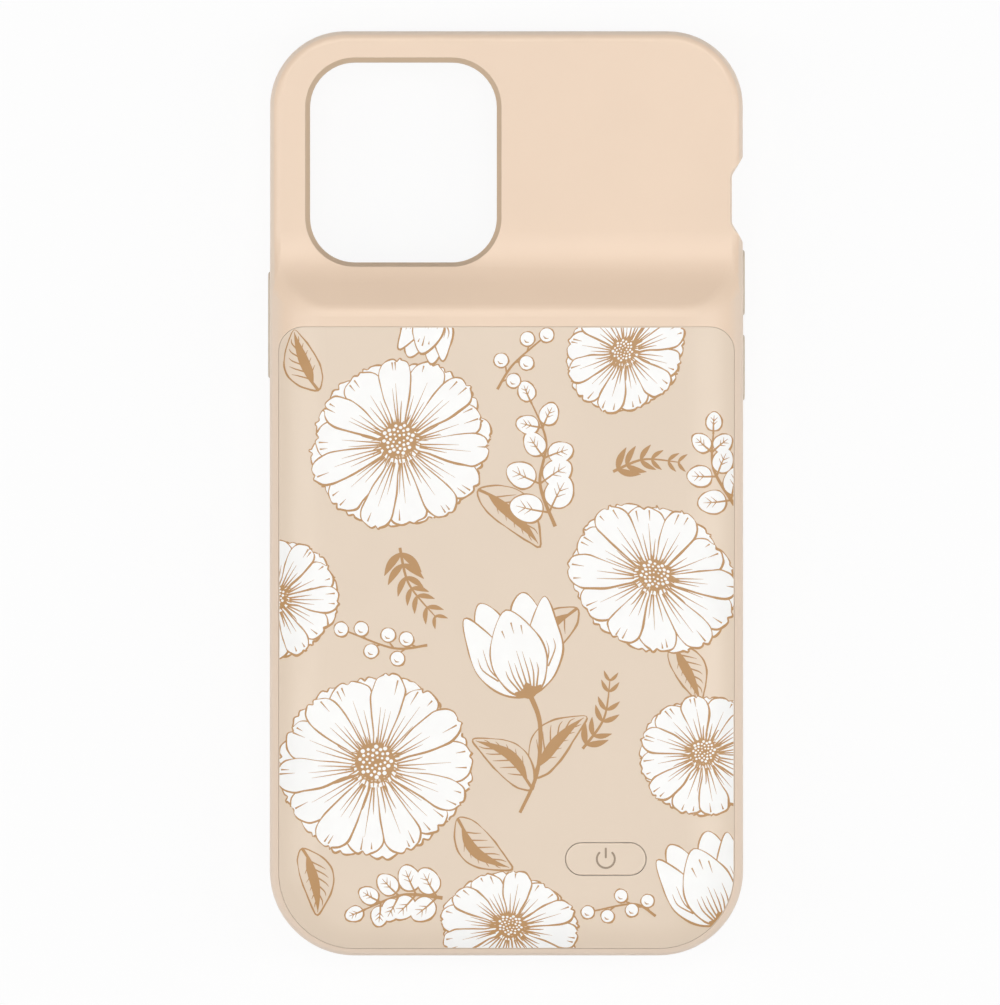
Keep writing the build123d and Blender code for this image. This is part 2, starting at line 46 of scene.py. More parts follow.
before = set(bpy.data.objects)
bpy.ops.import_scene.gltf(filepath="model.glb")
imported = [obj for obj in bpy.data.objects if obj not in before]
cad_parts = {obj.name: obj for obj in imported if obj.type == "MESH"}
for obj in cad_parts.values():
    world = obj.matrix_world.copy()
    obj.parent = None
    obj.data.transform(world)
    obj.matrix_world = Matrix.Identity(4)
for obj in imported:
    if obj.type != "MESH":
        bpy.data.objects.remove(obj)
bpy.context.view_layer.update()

MM = 0.001


def paint(red, green, blue):
    """Linear colour of an 8-bit display colour."""
    shares = (red / 255, green / 255, blue / 255)
    return tuple(c / 12.92 if c <= 0.04045 else ((c + 0.055) / 1.055) ** 2.4 for c in shares)


def tint(name, description, red, green, blue):
    """Colour setting, given as an 8-bit display colour."""
    return FloatVectorProperty(
        name=name, description=description, subtype="COLOR", default=paint(red, green, blue)
    )


def span(name, description, millimetres):
    """Length setting, given in millimetres."""
    return FloatProperty(
        name=name, description=description, unit="LENGTH", default=millimetres * MM, precision=6
    )


def pair(name, description, first, second):
    """Setting of two lengths, given in millimetres."""
    return FloatVectorProperty(
        name=name, description=description, size=2, unit="LENGTH", default=(first * MM, second * MM)
    )


def watts(name, description, power):
    """Setting of a lamp's power."""
    return FloatProperty(name=name, description=description, unit="POWER", default=power)


def fraction(name, description, part):
    """Setting between 0 and 1."""
    return FloatProperty(
        name=name, description=description, subtype="FACTOR", min=0, max=1, default=part
    )


class CaseFinishes(bpy.types.PropertyGroup):
    """Colours and surface of the moulded pieces."""

    shell: tint("Shell", "Colour of the moulded frame", 237, 211, 186)
    # Paler, greyer colour of the frame's upright faces: painted reflection of the white surroundings at
    # grazing angles
    wall: tint("Wall", "Colour of the frame's side walls", 233, 213, 194)
    cover: tint("Cover", "Ground colour of the printed cover", 229, 210, 189)
    # Near-white colour of the upright cut edges of the cover and button: painted light that brightens
    # the gaps round them
    core: tint("Core", "Colour of the cover's cut edges", 252, 248, 244)
    # Darker colour of the camera bevel: painted shade of the bevel, which faces into the opening
    bevel: tint("Camera bevel", "Colour of the bevel round the camera opening", 210, 185, 158)
    keys: tint("Keys", "Colour of the side keys", 206, 192, 172)
    camera_place: pair("Camera place", "Middle of the camera opening", -17.0, 54.5)
    camera_size: pair("Camera size", "Width and height of the camera opening", 30.8, 33.0)
    camera_corner: span("Camera corner", "Corner radius of the camera opening", 7.4)
    bevel_width: span("Bevel width", "Width of the bevel round the opening", 0.8)
    button_place: pair("Button place", "Middle of the power button", 16.3, -60.1)
    button_size: pair("Button size", "Width and height of the power button", 13.2, 5.3)
    grain: span("Grain", "Size of the moulded grain", 0.28)
    grain_depth: span("Grain depth", "Depth of the moulded grain", 0.006)
    roughness: fraction("Roughness", "Roughness of the satin coat", 0.36)


class BackPrint(bpy.types.PropertyGroup):
    """The print on the cover, and the crown that it lies on."""

    seed: IntProperty(name="Seed", description="Seed of the hand-drawn unevenness", default=7)
    line: span("Line", "Width of the drawn edges", 0.26)
    lift: span("Lift", "Height of the ink above the cover", 0.025)
    root: span("Root", "Depth of the ink under the cover's face", 0.05)
    white: tint("White ink", "Colour of the petals", 254, 253, 251)
    tan: tint("Tan ink", "Colour of the lines and leaves", 186, 142, 92)
    symbol: tint("Symbol ink", "Colour of the power symbol", 158, 138, 118)
    symbol_ring: span("Symbol ring", "Radius of the power symbol", 1.47)
    symbol_stroke: span("Symbol stroke", "Line width of the power symbol", 0.33)
    edge_margin: span("Edge margin", "Bare strip along the cover's edge", 0.12)
    button_margin: span("Button margin", "Bare strip round the button", 0.3)
    crown_run: span("Crown run", "Width of the curved border of the hump", 9.5)
    crown_drop: span("Crown drop", "Fall of the curved border of the hump", 4.22)
    crown_side: span("Crown side", "Half width of the hump's flat", 29.5)
    crown_end: span("Crown end", "Lower end of the hump's flat", -66.7)
    crown_corner: span("Crown corner", "Corner radius of the hump's flat", 4.5)
    corner_top: span("Top corner", "Radius of the cover's top corners", 3.9)
    corner_bottom: span("Bottom corner", "Radius of the cover's bottom corners", 12.4)


class StudioStage(bpy.types.PropertyGroup):
    """Camera, lamps and floor."""

    lens: FloatProperty(name="Lens", description="Focal length", unit="CAMERA", default=300.0)
    frame_height: span("Frame height", "Height of the picture at the case", 165.72)
    frame_level: span("Frame level", "Height above the floor at which that is measured", 10)
    aim: pair("Aim", "Point on the floor under the middle of the picture", -1.07, -1.57)
    overhead_height: span("Overhead height", "Height of the overhead softbox", 900)
    overhead_power: watts("Overhead power", "Power of the overhead softbox", 3.15)
    side_place: pair("Side place", "Reach and height of the softboxes at the sides", 900, 600)
    side_power: watts("Side power", "Power of one side softbox", 3.2)
    low_place: pair("Low place", "Reach and height of the softbox below the case", 700, 900)
    low_power: watts("Low power", "Power of the softbox below the case", 1.4)
    strip_place: pair("Strip place", "Reach and height of the strip above the case", 420, 900)
    strip_power: watts("Strip power", "Power of the strip above the case", 3.6)
    flank_place: pair("Flank place", "Reach and height of the strips at the sides", 650, 900)
    flank_power: watts("Flank power", "Power of one strip at a side", 2.4)
    sky: FloatProperty(name="Sky", description="Strength of the light from all round", default=0.27)
    floor_size: span("Floor size", "Side of the floor", 8000)
    floor_shade: fraction("Floor shade", "Share of the shadow that the floor shows", 0.1)


class Nodes:
    """Short calls that add nodes to a tree."""

    def __init__(self, tree):
        self.tree = tree

    def add(self, kind, **settings):
        """Adds a node."""
        node = self.tree.nodes.new(kind)
        for name, value in settings.items():
            setattr(node, name, value)
        return node

    def feed(self, node, **sockets):
        """Sets the node's sockets to values, or links them to other sockets."""
        for name, value in sockets.items():
            key = int(name[1:]) if name[0] == "_" else name.replace("_", " ")
            socket = node.inputs[key]
            if isinstance(value, bpy.types.NodeSocket):
                self.tree.links.new(value, socket)
            else:
                socket.default_value = value
        return node

    def math(self, operation, first, second=0.0, clamp=False):
        """Result of a sum with numbers or sockets."""
        node = self.add("ShaderNodeMath", operation=operation, use_clamp=clamp)
        return self.feed(node, _0=first, _1=second).outputs[0]


class Finish(Nodes):
    """A material with a principled shader, and short calls that make its surface."""

    def __init__(self, name, colour, roughness, drift=None, sheen=None, **sockets):
        """Drift is the colour's swing and its size, and sheen the roughness's swing and its noise."""
        self.material = bpy.data.materials.new(name)
        self.material.use_nodes = True
        super().__init__(self.material.node_tree)
        self.shader = self.tree.nodes["Principled BSDF"]
        self.feed(self.shader, Base_Color=(*colour, 1), Roughness=roughness, **sockets)
        self.place = self.add("ShaderNodeTexCoord").outputs["Object"]
        if drift:
            self.colour(self.tone(colour, *drift))
        if sheen:
            self.uneven(roughness, sheen[0], self.noise(*sheen[1:]))

    def noise(self, size, detail=2.0, rough=0.5, stretch=None):
        """Noise whose features are about size metres across."""
        node = self.add("ShaderNodeTexNoise")
        place = self.place
        if stretch:
            mapping = self.feed(self.add("ShaderNodeMapping"), Vector=place, Scale=stretch)
            place = mapping.outputs[0]
        self.feed(node, Vector=place, Scale=1 / size, Detail=detail, Roughness=rough)
        return node.outputs["Fac"]

    def spread(self, value, low, high, source=(0.3, 0.7)):
        """Maps a value from a range, as a rule that of noise, to low and high."""
        node = self.add("ShaderNodeMapRange")
        self.feed(node, Value=value, _1=source[0], _2=source[1], _3=low, _4=high)
        return node.outputs[0]

    def mix(self, share, first, second):
        """Mixes two colours or colour sockets."""
        node = self.add("ShaderNodeMix", data_type="RGBA")
        for index, colour in ((6, first), (7, second)):
            value = colour if isinstance(colour, bpy.types.NodeSocket) else (*colour, 1)
            self.feed(node, **{f"_{index}": value})
        return self.feed(node, _0=share).outputs[2]

    def tone(self, colour, amount, size):
        """Colour that drifts a little lighter and darker over the surface."""
        share = self.spread(self.noise(size, 3.0), 0.0, 1.0)
        dark, light = ([min(1.0, c * (1 + swing)) for c in colour] for swing in (-amount, amount))
        return self.mix(share, dark, light)

    def colour(self, socket):
        """Links the surface's colour."""
        self.feed(self.shader, Base_Color=socket)

    def base(self):
        """The colour linked so far."""
        return self.shader.inputs["Base Color"].links[0].from_socket

    def uneven(self, level, swing, noise):
        """Links a roughness that swings about a level with a noise."""
        self.feed(self.shader, Roughness=self.spread(noise, level - swing, level + swing))

    def bump(self, height, depth, normal=None):
        """Links relief of a depth, over earlier relief where its normal is given."""
        node = self.add("ShaderNodeBump")
        self.feed(node, Height=height, Distance=depth, Strength=1.0)
        if normal is not None:
            self.feed(node, Normal=normal)
        self.feed(self.shader, Normal=node.outputs[0])
        return node.outputs[0]

    def steep(self, upright, level):
        """1 on faces that stand upright and 0 on those that lie level, by the height of the normal."""
        normal = self.add("ShaderNodeNewGeometry").outputs["Normal"]
        facing = self.feed(self.add("ShaderNodeSeparateXYZ"), Vector=normal)
        return self.spread(self.math("ABSOLUTE", facing.outputs[2]), 1.0, 0.0, (upright, level))

    def axis(self, index):
        """Coordinate along an axis, in metres."""
        node = self.feed(self.add("ShaderNodeSeparateXYZ"), Vector=self.place)
        return node.outputs[index]

    def stripes(self, index, pitch, share):
        """1 on bands across an axis and 0 between them."""
        part = self.math("FRACT", self.math("DIVIDE", self.axis(index), pitch))
        return self.math("LESS_THAN", part, share)

    def cells(self, size, metric="EUCLIDEAN"):
        """Distance from the nearest of scattered points, and a random number for each point."""
        node = self.add("ShaderNodeTexVoronoi", distance=metric)
        self.feed(node, Vector=self.place, Scale=1 / size)
        pick = self.feed(self.add("ShaderNodeSeparateColor"), Color=node.outputs["Color"])
        return node.outputs["Distance"], pick.outputs[0]


def wear(names, finish):
    """Gives CAD nodes a finish."""
    for name in names:
        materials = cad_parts[name].data.materials
        materials.clear()
        materials.append(finish.material)


def satin(name, colour, finishes):
    """Moulded satin plastic: fine grain, and slow drifts of colour and gloss."""
    drift, sheen = (0.012, 22 * MM), (0.03, 9 * MM, 3.0)
    finish = Finish(name, colour, finishes.roughness, drift, sheen, Specular_IOR_Level=0.5)
    waves = finish.bump(finish.noise(6 * MM, 1.0), 0.01 * MM)
    finish.bump(finish.noise(finishes.grain, 2.0, 0.6), finishes.grain_depth, waves)
    return finish


def satin_lit_edges(name, finishes):
    """Satin of the cover's colour, with a near-white colour on its upright cut edges: painted light
    that brightens the narrow gaps round the cover and the button.
    """
    finish = satin(name, finishes.cover, finishes)
    finish.colour(finish.mix(finish.steep(upright=0.2, level=0.5), finish.base(), finishes.core))
    return finish


def polar(middle, radius, turn):
    """Point at a radius from a middle."""
    return (middle[0] + radius * math.cos(turn), middle[1] + radius * math.sin(turn))


def disc(middle, radius, count):
    """Outline of a round spot."""
    return [polar(middle, radius, math.tau * k / count) for k in range(count)]


def turned(points, place, turn, squash=1.0):
    """Points squashed along Y, turned and moved to a place."""
    c, s = math.cos(turn), math.sin(turn)
    return [(place[0] + c * x - s * y * squash, place[1] + s * x + c * y * squash) for x, y in points]


def curve(points, steps, closed=False):
    """Smooth line through the points."""
    n = len(points)
    line = []
    for i in range(n if closed else n - 1):
        around = [i + k - 1 for k in range(4)]
        p = [points[j % n if closed else min(max(j, 0), n - 1)] for j in around]
        for k in range(steps):
            t = k / steps
            weights = (
                -0.5 * t + t * t - 0.5 * t**3,
                1 - 2.5 * t * t + 1.5 * t**3,
                0.5 * t + 2 * t * t - 1.5 * t**3,
                -0.5 * t * t + 0.5 * t**3,
            )
            line.append(tuple(sum(w * q[axis] for w, q in zip(weights, p)) for axis in (0, 1)))
    if not closed:
        line.append(points[-1])
    return line


def slim(outline, leeway=0.012):
    """Outline without the points that lie within the leeway of a straight run."""
    kept = [outline[0]]
    skipped = []
    for point, after in zip(outline[1:], outline[2:] + outline[:1]):
        skipped.append(point)
        ax, ay = kept[-1]
        dx, dy = after[0] - ax, after[1] - ay
        length = math.hypot(dx, dy)
        offsets = (abs((x - ax) * dy - (y - ay) * dx) for x, y in skipped)
        if length < leeway or any(offset > leeway * length for offset in offsets):
            kept.append(point)
            skipped = []
    return kept


def sides(points, closed):
    """Unit vectors to the left of a line, one for each point."""
    n = len(points)
    left = []
    for i in range(n):
        a = points[i - 1 if closed else max(i - 1, 0)]
        b = points[(i + 1) % n if closed else min(i + 1, n - 1)]
        dx, dy = b[0] - a[0], b[1] - a[1]
        length = math.hypot(dx, dy) or 1.0
        left.append((-dy / length, dx / length))
    return left


def area(outline):
    """Signed area, positive when the outline runs anticlockwise."""
    return sum(a[0] * b[1] - b[0] * a[1] for a, b in zip(outline, outline[1:] + outline[:1])) / 2


def brush(points, widths):
    """Outline of a brush stroke along a line, whose width follows a list of widths."""
    left, right = [], []
    last = len(points) - 1
    for i, ((x, y), (nx, ny)) in enumerate(zip(points, sides(points, False))):
        at = i / last * (len(widths) - 1)
        k = min(int(at), len(widths) - 2)
        half = (widths[k] + (widths[k + 1] - widths[k]) * (at - k)) / 2
        left.append((x + nx * half, y + ny * half))
        right.append((x - nx * half, y - ny * half))
    return left + right[::-1]


# Straight steps in the round end of a stroke
CAP_STEPS = 8


def capped(points, width):
    """Outline of an even stroke with round ends."""
    edge = brush(points, (width, width))
    left, right = edge[:len(points)], edge[len(points):]

    def cap(middle, start):
        angle = math.atan2(start[1] - middle[1], start[0] - middle[0])
        turns = [angle - math.pi * k / CAP_STEPS for k in range(1, CAP_STEPS)]
        return [polar(middle, width / 2, turn) for turn in turns]

    return left + cap(points[-1], left[-1]) + right + cap(points[0], right[-1])


# Widths of the brush strokes from root to tip, in millimetres
STROKES = {
    "daisy vein": (0.3, 0.22, 0.14, 0.04),
    "daisy crease": (0.28, 0.17, 0.04),
    "daisy hair": (0.34, 0.24, 0.05),
    "leaf spine": (0.5, 0.42, 0.3, 0.1),
    "leaf vein": (0.26, 0.2, 0.06),
    "sprig stem": (0.62, 0.5, 0.4, 0.2),
    "sprig rib": (0.36, 0.26, 0.06),
    "sprig vein": (0.2, 0.14, 0.05),
    "frond stem": (0.5, 0.42, 0.3, 0.15),
    "berries stem": (0.46, 0.36, 0.26),
    "berries stalk": (0.3, 0.22),
    "berries shade": (0.05, 0.24, 0.05),
    "tulip stem": (0.9, 0.7, 0.6, 0.5),
    "tulip vein": (0.28, 0.2, 0.05),
    "tulip front vein": (0.32, 0.22, 0.05),
    "tulip crease": (0.26, 0.16, 0.04),
}

# Drawn edges: the side on which they are wider, and their waves with shares of the width
SHADED_SIDE = (0.5, -0.87)
SHADED_SHARE = 0.55
EDGE_SHARE = 0.8
EDGE_WAVES = ((2, 0.22), (5, 0.16), (11, 0.1))


class InkSheet:
    """Ink shapes in millimetres, each with its motif, its level in the motif and its colour."""

    def __init__(self, seed, line):
        self.chance = random.Random(seed)
        self.line = line
        self.motifs = []
        self.shapes = []

    def start(self, kind):
        """Starts a motif, which lies over those before it."""
        count = sum(name.startswith(f"print_{kind}_") for name in self.motifs)
        self.motifs.append(f"print_{kind}_{count + 1}")

    def near(self, value, spread):
        """Random number about a value."""
        return value + self.chance.uniform(-spread, spread)

    def lay(self, colour, level, outline):
        """Lays a shape at a level of the motif: the highest shape shows."""
        self.shapes.append((len(self.motifs) - 1, level, colour, slim(outline)))

    def stroke(self, kind, level, line):
        """Lays a brush stroke along a line."""
        self.lay("tan", level, brush(line, STROKES[kind]))

    def field(self, level, outline, line=None, fill="white"):
        """Filled shape with a drawn edge; takes two levels."""
        self.lay("tan", level, self.grown(outline, self.line if line is None else line))
        self.lay(fill, level + 1, outline)

    def grown(self, outline, width):
        """Outline drawn out to an inked edge: wider on the shaded side, and never quite even."""
        way = -1 if area(outline) > 0 else 1
        waves = [(count, share, self.chance.uniform(0, math.tau)) for count, share in EDGE_WAVES]
        edge = []
        for i, ((x, y), (nx, ny)) in enumerate(zip(outline, sides(outline, True))):
            turn = math.tau * i / len(outline)
            wave = sum(share * math.sin(count * turn + phase) for count, share, phase in waves)
            shaded = way * (nx * SHADED_SIDE[0] + ny * SHADED_SIDE[1])
            reach = way * width * (EDGE_SHARE + wave + SHADED_SHARE * max(0.0, shaded))
            edge.append((x + nx * reach, y + ny * reach))
        return edge


# Half outline of a petal, as shares of its length and half width
PETAL_EDGE = (
    (0.0, 0.24), (0.2, 0.46), (0.45, 0.78), (0.67, 0.98), (0.81, 1.0), (0.92, 0.79), (0.98, 0.44)
)


def daisy_petal(sheet, start, reach, half):
    """Blunt petal along +X with a notched tip."""
    upper, lower = (
        [(start + reach * sheet.near(u, 0.012), side * sheet.near(w, 0.05)) for u, w in PETAL_EDGE]
        for side in (half, -half)
    )
    notch = sheet.near(0.0, 0.3)
    tip = [
        (start + reach * sheet.near(u, 0.014), half * (notch + aside))
        for u, aside in ((1.0, 0.22), (0.965, 0.0), (1.0, -0.22))
    ]
    return curve(upper + tip + lower[::-1], 5, True)


def daisy(sheet, place, radius, petals, squash, turn):
    """Blossom of many petals in two rings, seen from the front, or leaning back when squashed."""

    def put(points, spin=0.0):
        return turned(turned(points, (0, 0), spin), place, turn, squash)

    sheet.start("daisy")
    inner = radius * 0.19
    half = radius * 0.86 * math.tan(math.pi / petals)
    rings = [(0, k + 0.5, 0.78, 0.98) for k in range(petals)]
    rings += [(2, k, 0.77, 0.98) for k in range(0, petals, 2)]
    rings += [(4, k, 0.8, 0.86) for k in range(1, petals, 2)]
    for level, step, reach, share in rings:
        spin = math.tau * (step + sheet.near(0.0, 0.08)) / petals
        length = radius * sheet.near(reach, 0.035)
        wide = half * sheet.near(share, 0.08)
        sheet.field(level, put(daisy_petal(sheet, inner, length, wide), spin))
        if level == 0:
            continue
        for offset, depth in ((-0.4, 0.45), (-0.07, 0.66), (0.3, 0.5)):
            away = wide * sheet.near(offset, 0.08)
            far = inner + length * sheet.near(depth, 0.12)
            vein = [(radius * 0.22, away * 0.3), (radius * 0.42, away * 0.72), (far, away)]
            sheet.stroke("daisy vein", 6, curve(put(vein, spin), 4))
        for offset in sheet.chance.sample((-0.45, -0.15, 0.2, 0.48), sheet.chance.choice((1, 2, 2))):
            away = wide * sheet.near(offset, 0.08)
            tip = inner + length * (0.965 - 0.14 * offset**2)
            crease = [(tip, away), (tip - radius * sheet.near(0.12, 0.05), away * 0.88)]
            sheet.stroke("daisy crease", 6, curve(put(crease, spin), 4))
    daisy_heart(sheet, put, radius * 0.2, radius * 0.06)


def daisy_heart(sheet, put, heart, lift):
    """Middle of a daisy: a dark disc with a fringe and rows of seeds."""

    def spoke(share, spin, rise=lift):
        return polar((0, rise), heart * share, spin)

    rim = [spoke(sheet.near(1.0, 0.05), math.tau * k / 20) for k in range(20)]
    sheet.lay("tan", 6, put(curve(rim, 3, True)))
    hairs = 36
    for k in range(hairs):
        spin = math.tau * (k + sheet.near(0, 0.3)) / hairs
        hair = [spoke(0.9, spin), spoke(sheet.near(1.45, 0.25), spin, lift * 0.6)]
        sheet.stroke("daisy hair", 6, curve(put(hair), 3))
    seeds = 38
    golden_turn = math.pi * (3 - math.sqrt(5))
    for k in range(1, seeds):
        middle = spoke(0.88 * math.sqrt(k / seeds), k * golden_turn)
        size = heart * (0.066 + 0.04 * k / seeds) * sheet.near(1.0, 0.15)
        sheet.lay("white", 7, put(disc(middle, size, 10)))


# Steps from stalk to tip in the outline of a leaf
LEAF_STEPS = 9


def leaf_shape(length, half, bend):
    """Pointed leaf along +X that bends to one side."""
    shares = [k / LEAF_STEPS for k in range(1, LEAF_STEPS)]
    upper, lower = ([leaf_rib(length, half, bend, share, side) for share in shares] for side in (1, -1))
    return curve([(0, 0), *upper, (length, 0), *lower[::-1]], 4, True)


def leaf_rib(length, half, bend, along, side=0.0):
    """Point of a leaf: along it from stalk to tip, and sideways from its rib towards an edge."""
    width = half * math.sin(math.pi * along**0.8) ** 0.85
    return (length * along, bend * length * math.sin(math.pi * along) * 0.5 + side * width)


def long_leaf(sheet, place, length, half, turn, bend):
    """Outlined leaf with a midrib and side veins, shaded on one half."""

    def rib(along, side=0.0):
        return leaf_rib(length, half, bend, along, side)

    sheet.start("leaf")
    sheet.field(0, turned(leaf_shape(length, half, bend), place, turn), fill="ground")
    spine = [rib(u) for u in (0.0, 0.25, 0.5, 0.75, 0.97)]
    sheet.stroke("leaf spine", 2, curve(turned(spine, place, turn), 5))
    for k in range(5):
        along = 0.2 + 0.13 * k
        for side in (-1, 1):
            tip = rib(along + 0.17, side * sheet.near(0.74, 0.06))
            vein = [rib(along), rib(along + 0.1, side * 0.45), tip]
            sheet.stroke("leaf vein", 2, curve(turned(vein, place, turn), 4))
    low = [rib(0.12, -0.1), rib(0.3, -0.5), rib(0.55, -0.56), rib(0.8, -0.45), rib(0.95, -0.1)]
    high = [rib(u) for u in (0.8, 0.55, 0.3)]
    sheet.lay("tan", 2, turned(curve(low, 4) + curve(high, 4), place, turn))


# Share of a stem at which its last leaf or berry grows
STEM_END = 0.98


def along_stem(sheet, kind, points, count, first):
    """Starts a motif with a stem, and gives places along it: number, share, spot and direction."""
    sheet.start(kind)
    stem = curve(points, 10)
    sheet.stroke(f"{kind} stem", 0, stem)
    for k in range(count):
        share = first + (STEM_END - first) * k / max(count - 1, 1)
        i = min(int(share * (len(stem) - 1)), len(stem) - 2)
        (x, y), (ahead, up) = stem[i], stem[i + 1]
        yield k, share, (x, y), math.atan2(up - y, ahead - x)


# Points round a leaf of a sprig
BLADE_POINTS = 16


def round_sprig(sheet, points, pairs, size):
    """Stem with round leaves in pairs that grow smaller towards its tip."""
    for k, share, spot, along in along_stem(sheet, "sprig", points, pairs, 0.14):
        reach = size * (1.0 - 0.42 * share) * sheet.near(1.0, 0.08)
        stalk = reach * 0.22
        for side in (0,) if k == pairs - 1 else (-1, 1):
            angle = along + side * sheet.near(0.95, 0.18)
            blade = []
            for m in range(BLADE_POINTS):
                t = math.tau * m / BLADE_POINTS
                half = reach * 0.41 * math.sin(t) * (1.0 + 0.16 * math.cos(t))
                blade.append((stalk + reach * (0.5 - 0.5 * math.cos(t)), half))
            sheet.field(1, turned(curve(blade, 3, True), spot, angle), sheet.line * 0.9)
            rib = [(0, 0), (stalk + reach * 0.3, reach * 0.02), (stalk + reach * 0.82, 0)]
            sheet.stroke("sprig rib", 3, curve(turned(rib, spot, angle), 5))
            for out in (0.32, 0.52):
                for lean in (-0.2, 0.2):
                    vein = [(stalk + reach * out, 0), (stalk + reach * (out + 0.2), lean * reach)]
                    sheet.stroke("sprig vein", 3, curve(turned(vein, spot, angle), 3))


def frond(sheet, points, pairs, size):
    """Stem with slim solid leaflets in pairs."""
    for _, share, spot, along in along_stem(sheet, "frond", points, pairs, 0.12):
        reach = size * (1.0 - 0.5 * share) * sheet.near(1.0, 0.1)
        for side in (-1, 1):
            angle = along + side * sheet.near(0.72, 0.1)
            sheet.lay("tan", 0, turned(leaf_shape(reach, reach * 0.14, 0.12 * side), spot, angle))


# Line of shade on a berry, as shares of its radius
BERRY_SHADE = ((-0.5, -0.1), (-0.2, -0.48), (0.3, -0.5))


def berries(sheet, points, count, size):
    """Thin spray with round white berries."""
    for k, _, spot, along in along_stem(sheet, "berries", points, count, 0.2):
        side = 0 if k == count - 1 else (1 if k % 2 else -1)
        angle = along + side * sheet.near(0.85, 0.15)
        reach = size * sheet.near(1.9, 0.3)
        stalk = turned([(0, 0), (reach * 0.55, -0.12 * side * reach), (reach, 0)], spot, angle)
        sheet.stroke("berries stalk", 0, curve(stalk, 4))
        sheet.field(1, disc(stalk[-1], size, 28), sheet.line * 0.85)
        shade = turned([(x * size, y * size) for x, y in BERRY_SHADE], stalk[-1], 0)
        sheet.stroke("berries shade", 3, curve(shade, 4))


# Petals of a tulip, as shares of its size
TULIP_BACK = (
    ((-0.12, 0.1), (-0.34, 0.5), (-0.3, 0.86), (-0.2, 1.0), (-0.06, 0.84), (0.0, 0.5)),
    ((0.12, 0.1), (0.36, 0.5), (0.32, 0.84), (0.22, 0.98), (0.07, 0.84), (0.0, 0.5)),
)
TULIP_FLANKS = (
    ((0.0, 0.0), (-0.24, 0.07), (-0.43, 0.32), (-0.45, 0.62))
    + ((-0.4, 0.9), (-0.24, 0.72), (-0.1, 0.45), (-0.03, 0.2)),
    ((0.0, 0.0), (0.25, 0.08), (0.44, 0.33), (0.46, 0.6))
    + ((0.43, 0.88), (0.25, 0.7), (0.1, 0.45), (0.03, 0.2)),
)
TULIP_FRONT = (
    ((0.0, -0.01), (-0.17, 0.08), (-0.27, 0.34), (-0.2, 0.62))
    + ((0.02, 0.86), (0.22, 0.6), (0.27, 0.33), (0.16, 0.07))
)
TULIP_CALYX = ((-0.14, 0.05), (0.0, -0.05), (0.14, 0.05), (0.06, 0.06), (0.0, 0.12), (-0.06, 0.06))


def tulip(sheet, place, size, turn, stem):
    """Cup-shaped blossom seen from the side, upright when not turned."""

    def put(points, steps, closed=True):
        return curve(turned([(x * size, y * size) for x, y in points], place, turn), steps, closed)

    sheet.start("tulip")
    if stem:
        sheet.stroke("tulip stem", 0, curve([place, *stem], 10))
    for petal in TULIP_BACK:
        sheet.field(0, put(petal, 6))
    for side, petal in zip((-1, 1), TULIP_FLANKS):
        sheet.field(2, put(petal, 6))
        for k in range(4):
            x = side * (0.16 + 0.07 * k)
            tip = (x * 1.05, sheet.near(0.5, 0.06))
            vein = [(x * 0.7, 0.12 + 0.03 * k), (x * 1.02, 0.3 + 0.02 * k), tip]
            sheet.stroke("tulip vein", 4, put(vein, 4, False))
    sheet.field(4, put(TULIP_FRONT, 6))
    for k in range(7):
        x = -0.16 + 0.32 * k / 6
        top = sheet.near(0.42 - 0.5 * abs(x), 0.06)
        vein = [(x * 0.55, 0.05), (x * 0.95, 0.2), (x, top)]
        sheet.stroke("tulip front vein", 6, put(vein, 4, False))
    for x in (-0.08, 0.03, 0.12):
        crease = [(x, 0.74 - 0.6 * abs(x - 0.02)), (x * 0.9, sheet.near(0.58, 0.04))]
        sheet.stroke("tulip crease", 6, put(crease, 4, False))
    sheet.lay("tan", 6, put(TULIP_CALYX, 5))


# Where the motifs lie, in millimetres and in the order in which they are drawn
# Leaves: foot, length, half width, turn and bend
LEAVES = (
    ((-4.5, 0.5), 13.5, 3.0, -0.75, 0.22),
    ((-31.0, 17.0), 10.5, 2.7, 1.95, 0.2),
    ((11.5, -19.0), 12.0, 2.7, -2.2, -0.2),
    ((4.5, -46.5), 13.0, 2.9, 0.85, 0.25),
    ((4.2, -48.5), 12.5, 2.7, 2.45, -0.2),
    ((-8.0, -53.5), 12.0, 2.8, -0.75, -0.22),
    ((-33.5, -58.5), 11.0, 2.6, -1.35, 0.25),
    ((27.0, -25.0), 10.5, 2.5, -1.1, 0.2),
)
# Sprigs and fronds: points of the stem, pairs of leaves and their size
SPRIGS = (
    (((8.0, -5.5), (5.5, 1.5), (6.5, 8.5), (4.0, 15.0)), 5, 5.6),
    (((37.5, -2.0), (34.0, 4.0), (34.0, 10.0)), 4, 4.8),
    (((-10.5, -66.5), (-17.0, -66.0), (-23.5, -68.5)), 5, 4.6),
)
FRONDS = (
    (((-17.5, -9.0), (-16.0, -15.0), (-11.5, -20.5)), 7, 4.6),
    (((12.5, -42.0), (16.0, -37.0), (17.0, -30.5)), 6, 4.0),
    (((17.5, 3.5), (22.5, 5.5), (28.5, 5.0)), 6, 4.0),
)
# Sprays of berries: points of the stem, berries and their radius
SPRAYS = (
    (((-13.0, -25.0), (-18.5, -25.5), (-25.5, -23.0)), 6, 1.1),
    (((-1.5, 17.0), (1.0, 21.0), (5.5, 25.0)), 5, 1.1),
    (((24.5, -69.5), (21.0, -67.5), (15.0, -68.5)), 5, 1.0),
)
# Daisies: middle, radius, petals, squash and turn
DAISIES = (
    ((-17.5, 8.0), 15.0, 14, 0.93, 0.35),
    ((24.0, -14.0), 14.5, 12, 0.8, -0.5),
    ((-21.5, -45.0), 16.0, 14, 0.95, 0.1),
    ((19.5, 23.0), 10.5, 12, 0.86, 0.8),
    ((32.5, -43.0), 11.0, 12, 0.9, 0.2),
    ((0.5, -71.5), 11.5, 12, 0.8, -0.15),
    ((-38.0, -17.5), 10.5, 12, 0.95, 0.5),
)
